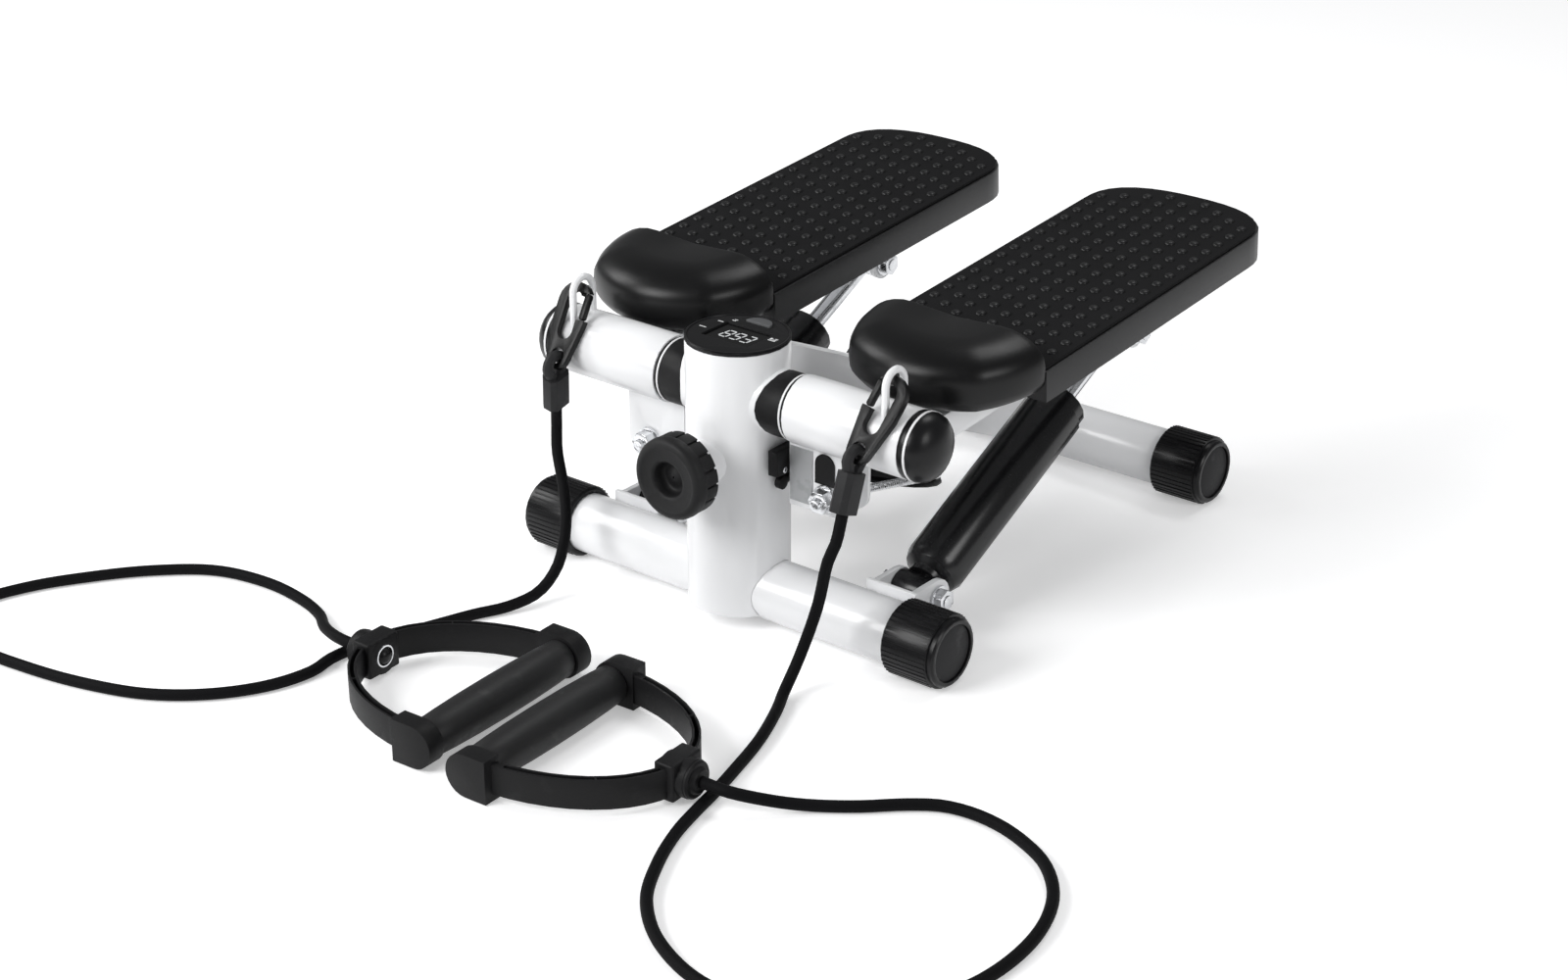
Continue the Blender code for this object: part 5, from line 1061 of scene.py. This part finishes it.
def rope_line():
    """Centre line of the right-hand half, from the back of the pulley to the stud."""
    hold = Vector((ROPE_HALF_SPAN, (ROPE_START_Y - PULLEY_Y) / TILT_COS, 0))
    touch = math.atan2(hold.y, hold.x) + math.acos(PULLEY_ROPE_RADIUS / hold.length)
    back = math.pi / 2
    spots = []
    for i in range(ROPE_WRAP + 1):
        angle = back + (touch - back) * i / ROPE_WRAP
        spots.append(Vector((PULLEY_ROPE_RADIUS * math.cos(angle),
                             PULLEY_ROPE_RADIUS * math.sin(angle), 0)))
    run = (hold - spots[-1]).length
    count = round(run / ROPE_STEP)
    spots += [spots[-1].lerp(hold, i / count) for i in range(1, count + 1)]
    return spots


def strand(centre, sign, share):
    """Places along one wire that winds round the centre line, a share of a turn ahead."""
    places = []
    gone = 0.0
    for k, spot in enumerate(centre):
        near = centre[min(k + 1, len(centre) - 1)] - centre[max(k - 1, 0)]
        across = Vector((-near.y, near.x, 0)).normalized()
        if k:
            gone += (spot - centre[k - 1]).length
        angle = 2 * math.pi * (gone / ROPE_TWIST + share)
        swing = STRAND_SWING * (across * math.cos(angle) + Vector((0, 0, 1)) * math.sin(angle))
        place = PULLEY @ (spot + swing)
        places.append((sign * place.x, place.y, place.z))
    return places


def rope():
    """Two halves of laid wire, each wound round the pulley and running to its pedal's stud."""
    centre = rope_line()
    for side, sign in SIDES.items():
        wires = [strand(centre, sign, i / STRANDS) for i in range(STRANDS)]
        item = tubes(f"rope_{side}", wires, STRAND_RADIUS, 1, FINISHES["rope_steel"], 60)
        outward(item)
        stud = PULLEY @ centre[-1]
        stud.x *= sign
        touch = PULLEY @ centre[ROPE_WRAP]
        touch.x *= sign
        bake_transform(item)
        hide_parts("drive_rope")


# Knob of the step adjuster

KNOB_PLACE = Matrix.Translation((0, -0.090095, 0.1098)) @ AGAINST_Y
KNOB_GRIPS = 16
KNOB_GRIP_SHARE = 0.86
KNOB_GRIP_OUTER = 0.0250
KNOB_GRIP_INNER = 0.0232
KNOB_GRIP_LOW = 0.0007
KNOB_GRIP_HIGH = 0.0112
KNOB_GRIP_BEVEL = 0.0004
# From the back round the rim and over the dished face to its middle
KNOB_PROFILE = [(0.0053, 0), (0.0222, 0), (0.0236, 0.0010), (0.0239, 0.0100), (0.0252, 0.0106),
                (0.0254, 0.0120), (0.0252, 0.0148), (0.0243, 0.0168), (0.0228, 0.0180),
                (0.0208, 0.0184), (0.0196, 0.0181), (0.0186, 0.0176), (0.0130, 0.0174),
                (0.0116, 0.0172), (0.0108, 0.0160), (0.0104, 0.0125), (0.0094, 0.0100),
                (0.0080, 0.0092), (0.0060, 0.0098), (0.0036, 0.0110), (0.0018, 0.0116),
                (0.0006, 0.0117)]


def knob():
    """Round body with a rolled rim and a dished face, and raised grip blocks behind it."""
    body = turned("knob_body", KNOB_PROFILE, KNOB_GREY, KNOB_PLACE, sides=FINE_SIDES, angle=50)
    outward(body)
    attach(body, "step_knob")
    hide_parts("adjuster_knob")
    pitch = 360 / KNOB_GRIPS
    grips = []
    for i in range(KNOB_GRIPS):
        start = i * pitch
        end = start + pitch * KNOB_GRIP_SHARE
        outline = (arc(0, 0, KNOB_GRIP_OUTER, start, end, 4)
                   + arc(0, 0, KNOB_GRIP_INNER, end, start, 4))
        grips.append(drawn_out("grip", outline, KNOB_GRIP_LOW, KNOB_GRIP_HIGH, KNOB_GREY,
                               bevel=KNOB_GRIP_BEVEL))
    grip_ring = joined("knob_grips", grips, KNOB_GREY, "step_knob", KNOB_PLACE)
    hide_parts("adjuster_knob")


# Switch and rope bracket

# Y and Z of each screw's middle
SWITCH_SCREWS = {"front": (-0.0048, 0.1062), "rear": (0.0114, 0.1070)}
SCREW_PROFILE = [(0.0007, 0.0391), (0.0019, 0.0391), (0.0019, 0.0395), (0.0015, 0.0398),
                 (0.0008, 0.0397)]
# Outlines of the painted shade on the right rope bracket, a black arch and a grey steel plate, in
# X and Z, and how far forward each face lies
BRACKET_FRONT = 0.0023
SHADE_ARCH_FRONT = 0.0030
FACE_FRONT = 0.0028
FACE_BEVEL = 0.0002
BRACKET_SHADE_ARCH = ([(0.0600, 0.1035), (0.0742, 0.1035)]
                  + arc(0.0671, 0.1160, 0.0071, 0, 180, 12))
BRACKET_SHADE_FACE = [(0.0412, 0.0875), (0.0578, 0.0875), (0.0578, 0.1225), (0.0412, 0.1225)]


def small_parts():
    """Screws of the switch, and painted shade on the right rope bracket: a black arch for the
    dark inside of its channel, and a grey steel plate for the shade on its wall.
    """
    for end, (y, z) in SWITCH_SCREWS.items():
        head = turned(f"switch_screw_{end}", SCREW_PROFILE, FINISHES["bright_steel"],
                      at(0, y, z) @ ALONG_X, sides=SCREW_SIDES)
        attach(head, "base")
    # Painted shade: a black arch standing in for the shaded inside of the bracket's channel.
    shade_arch = drawn_out("bracket_shade_arch", BRACKET_SHADE_ARCH, BRACKET_FRONT, SHADE_ARCH_FRONT,
                      FINISHES["satin_black"], at() @ AGAINST_Y)
    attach(shade_arch, "pedal_right")
    # Painted shade: a grey steel plate over the bracket's white front, darker than the enamel,
    # standing in for the shade on that wall.
    face = drawn_out("bracket_shade_face", BRACKET_SHADE_FACE, BRACKET_FRONT, FACE_FRONT, BRACKET_SHADE_GREY,
                     at() @ AGAINST_Y, FACE_BEVEL, 1)
    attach(face, "pedal_right")


# The solids that no piece above stands for

# Bevel of the nodes whose names start so, and of the rest
BEVELS = {"hook": 0.0018, "cord_clamp": 0.0024, "damper_body": 0.0006, "display_button": 0.0005,
          "post": 0.0005, "switch_lever": 0.0002, "foot_cap": 0.0005, "pedal_plate": 0.0011,
          "tread_mat": 0.0006}
PLAIN_BEVEL = 0.0004
REPLACED = ("drive_rope", "display_window", "adjuster_knob", "band", "toe_cup", "handle_frame",
            "handle_grip")
COLOURED = {"display_button": BUTTON_GREY, "cord_clamp": CLAMP_GREY, "pedal_plate": BOARD_GLOSS}


def other_solids():
    """The remaining solids themselves, with broken edges."""
    for node in nodes:
        kind = node.removesuffix("_left").removesuffix("_right")
        if kind in REPLACED:
            continue
        bevel = next((width for key, width in BEVELS.items() if kind.startswith(key)),
                     PLAIN_BEVEL)
        eased_copy(node, bevel, finish=COLOURED.get(kind))


camera()
studio()
bands()
pedals()
rings()
cap_trim()
display()
handles()
rope()
knob()
small_parts()
other_solids()
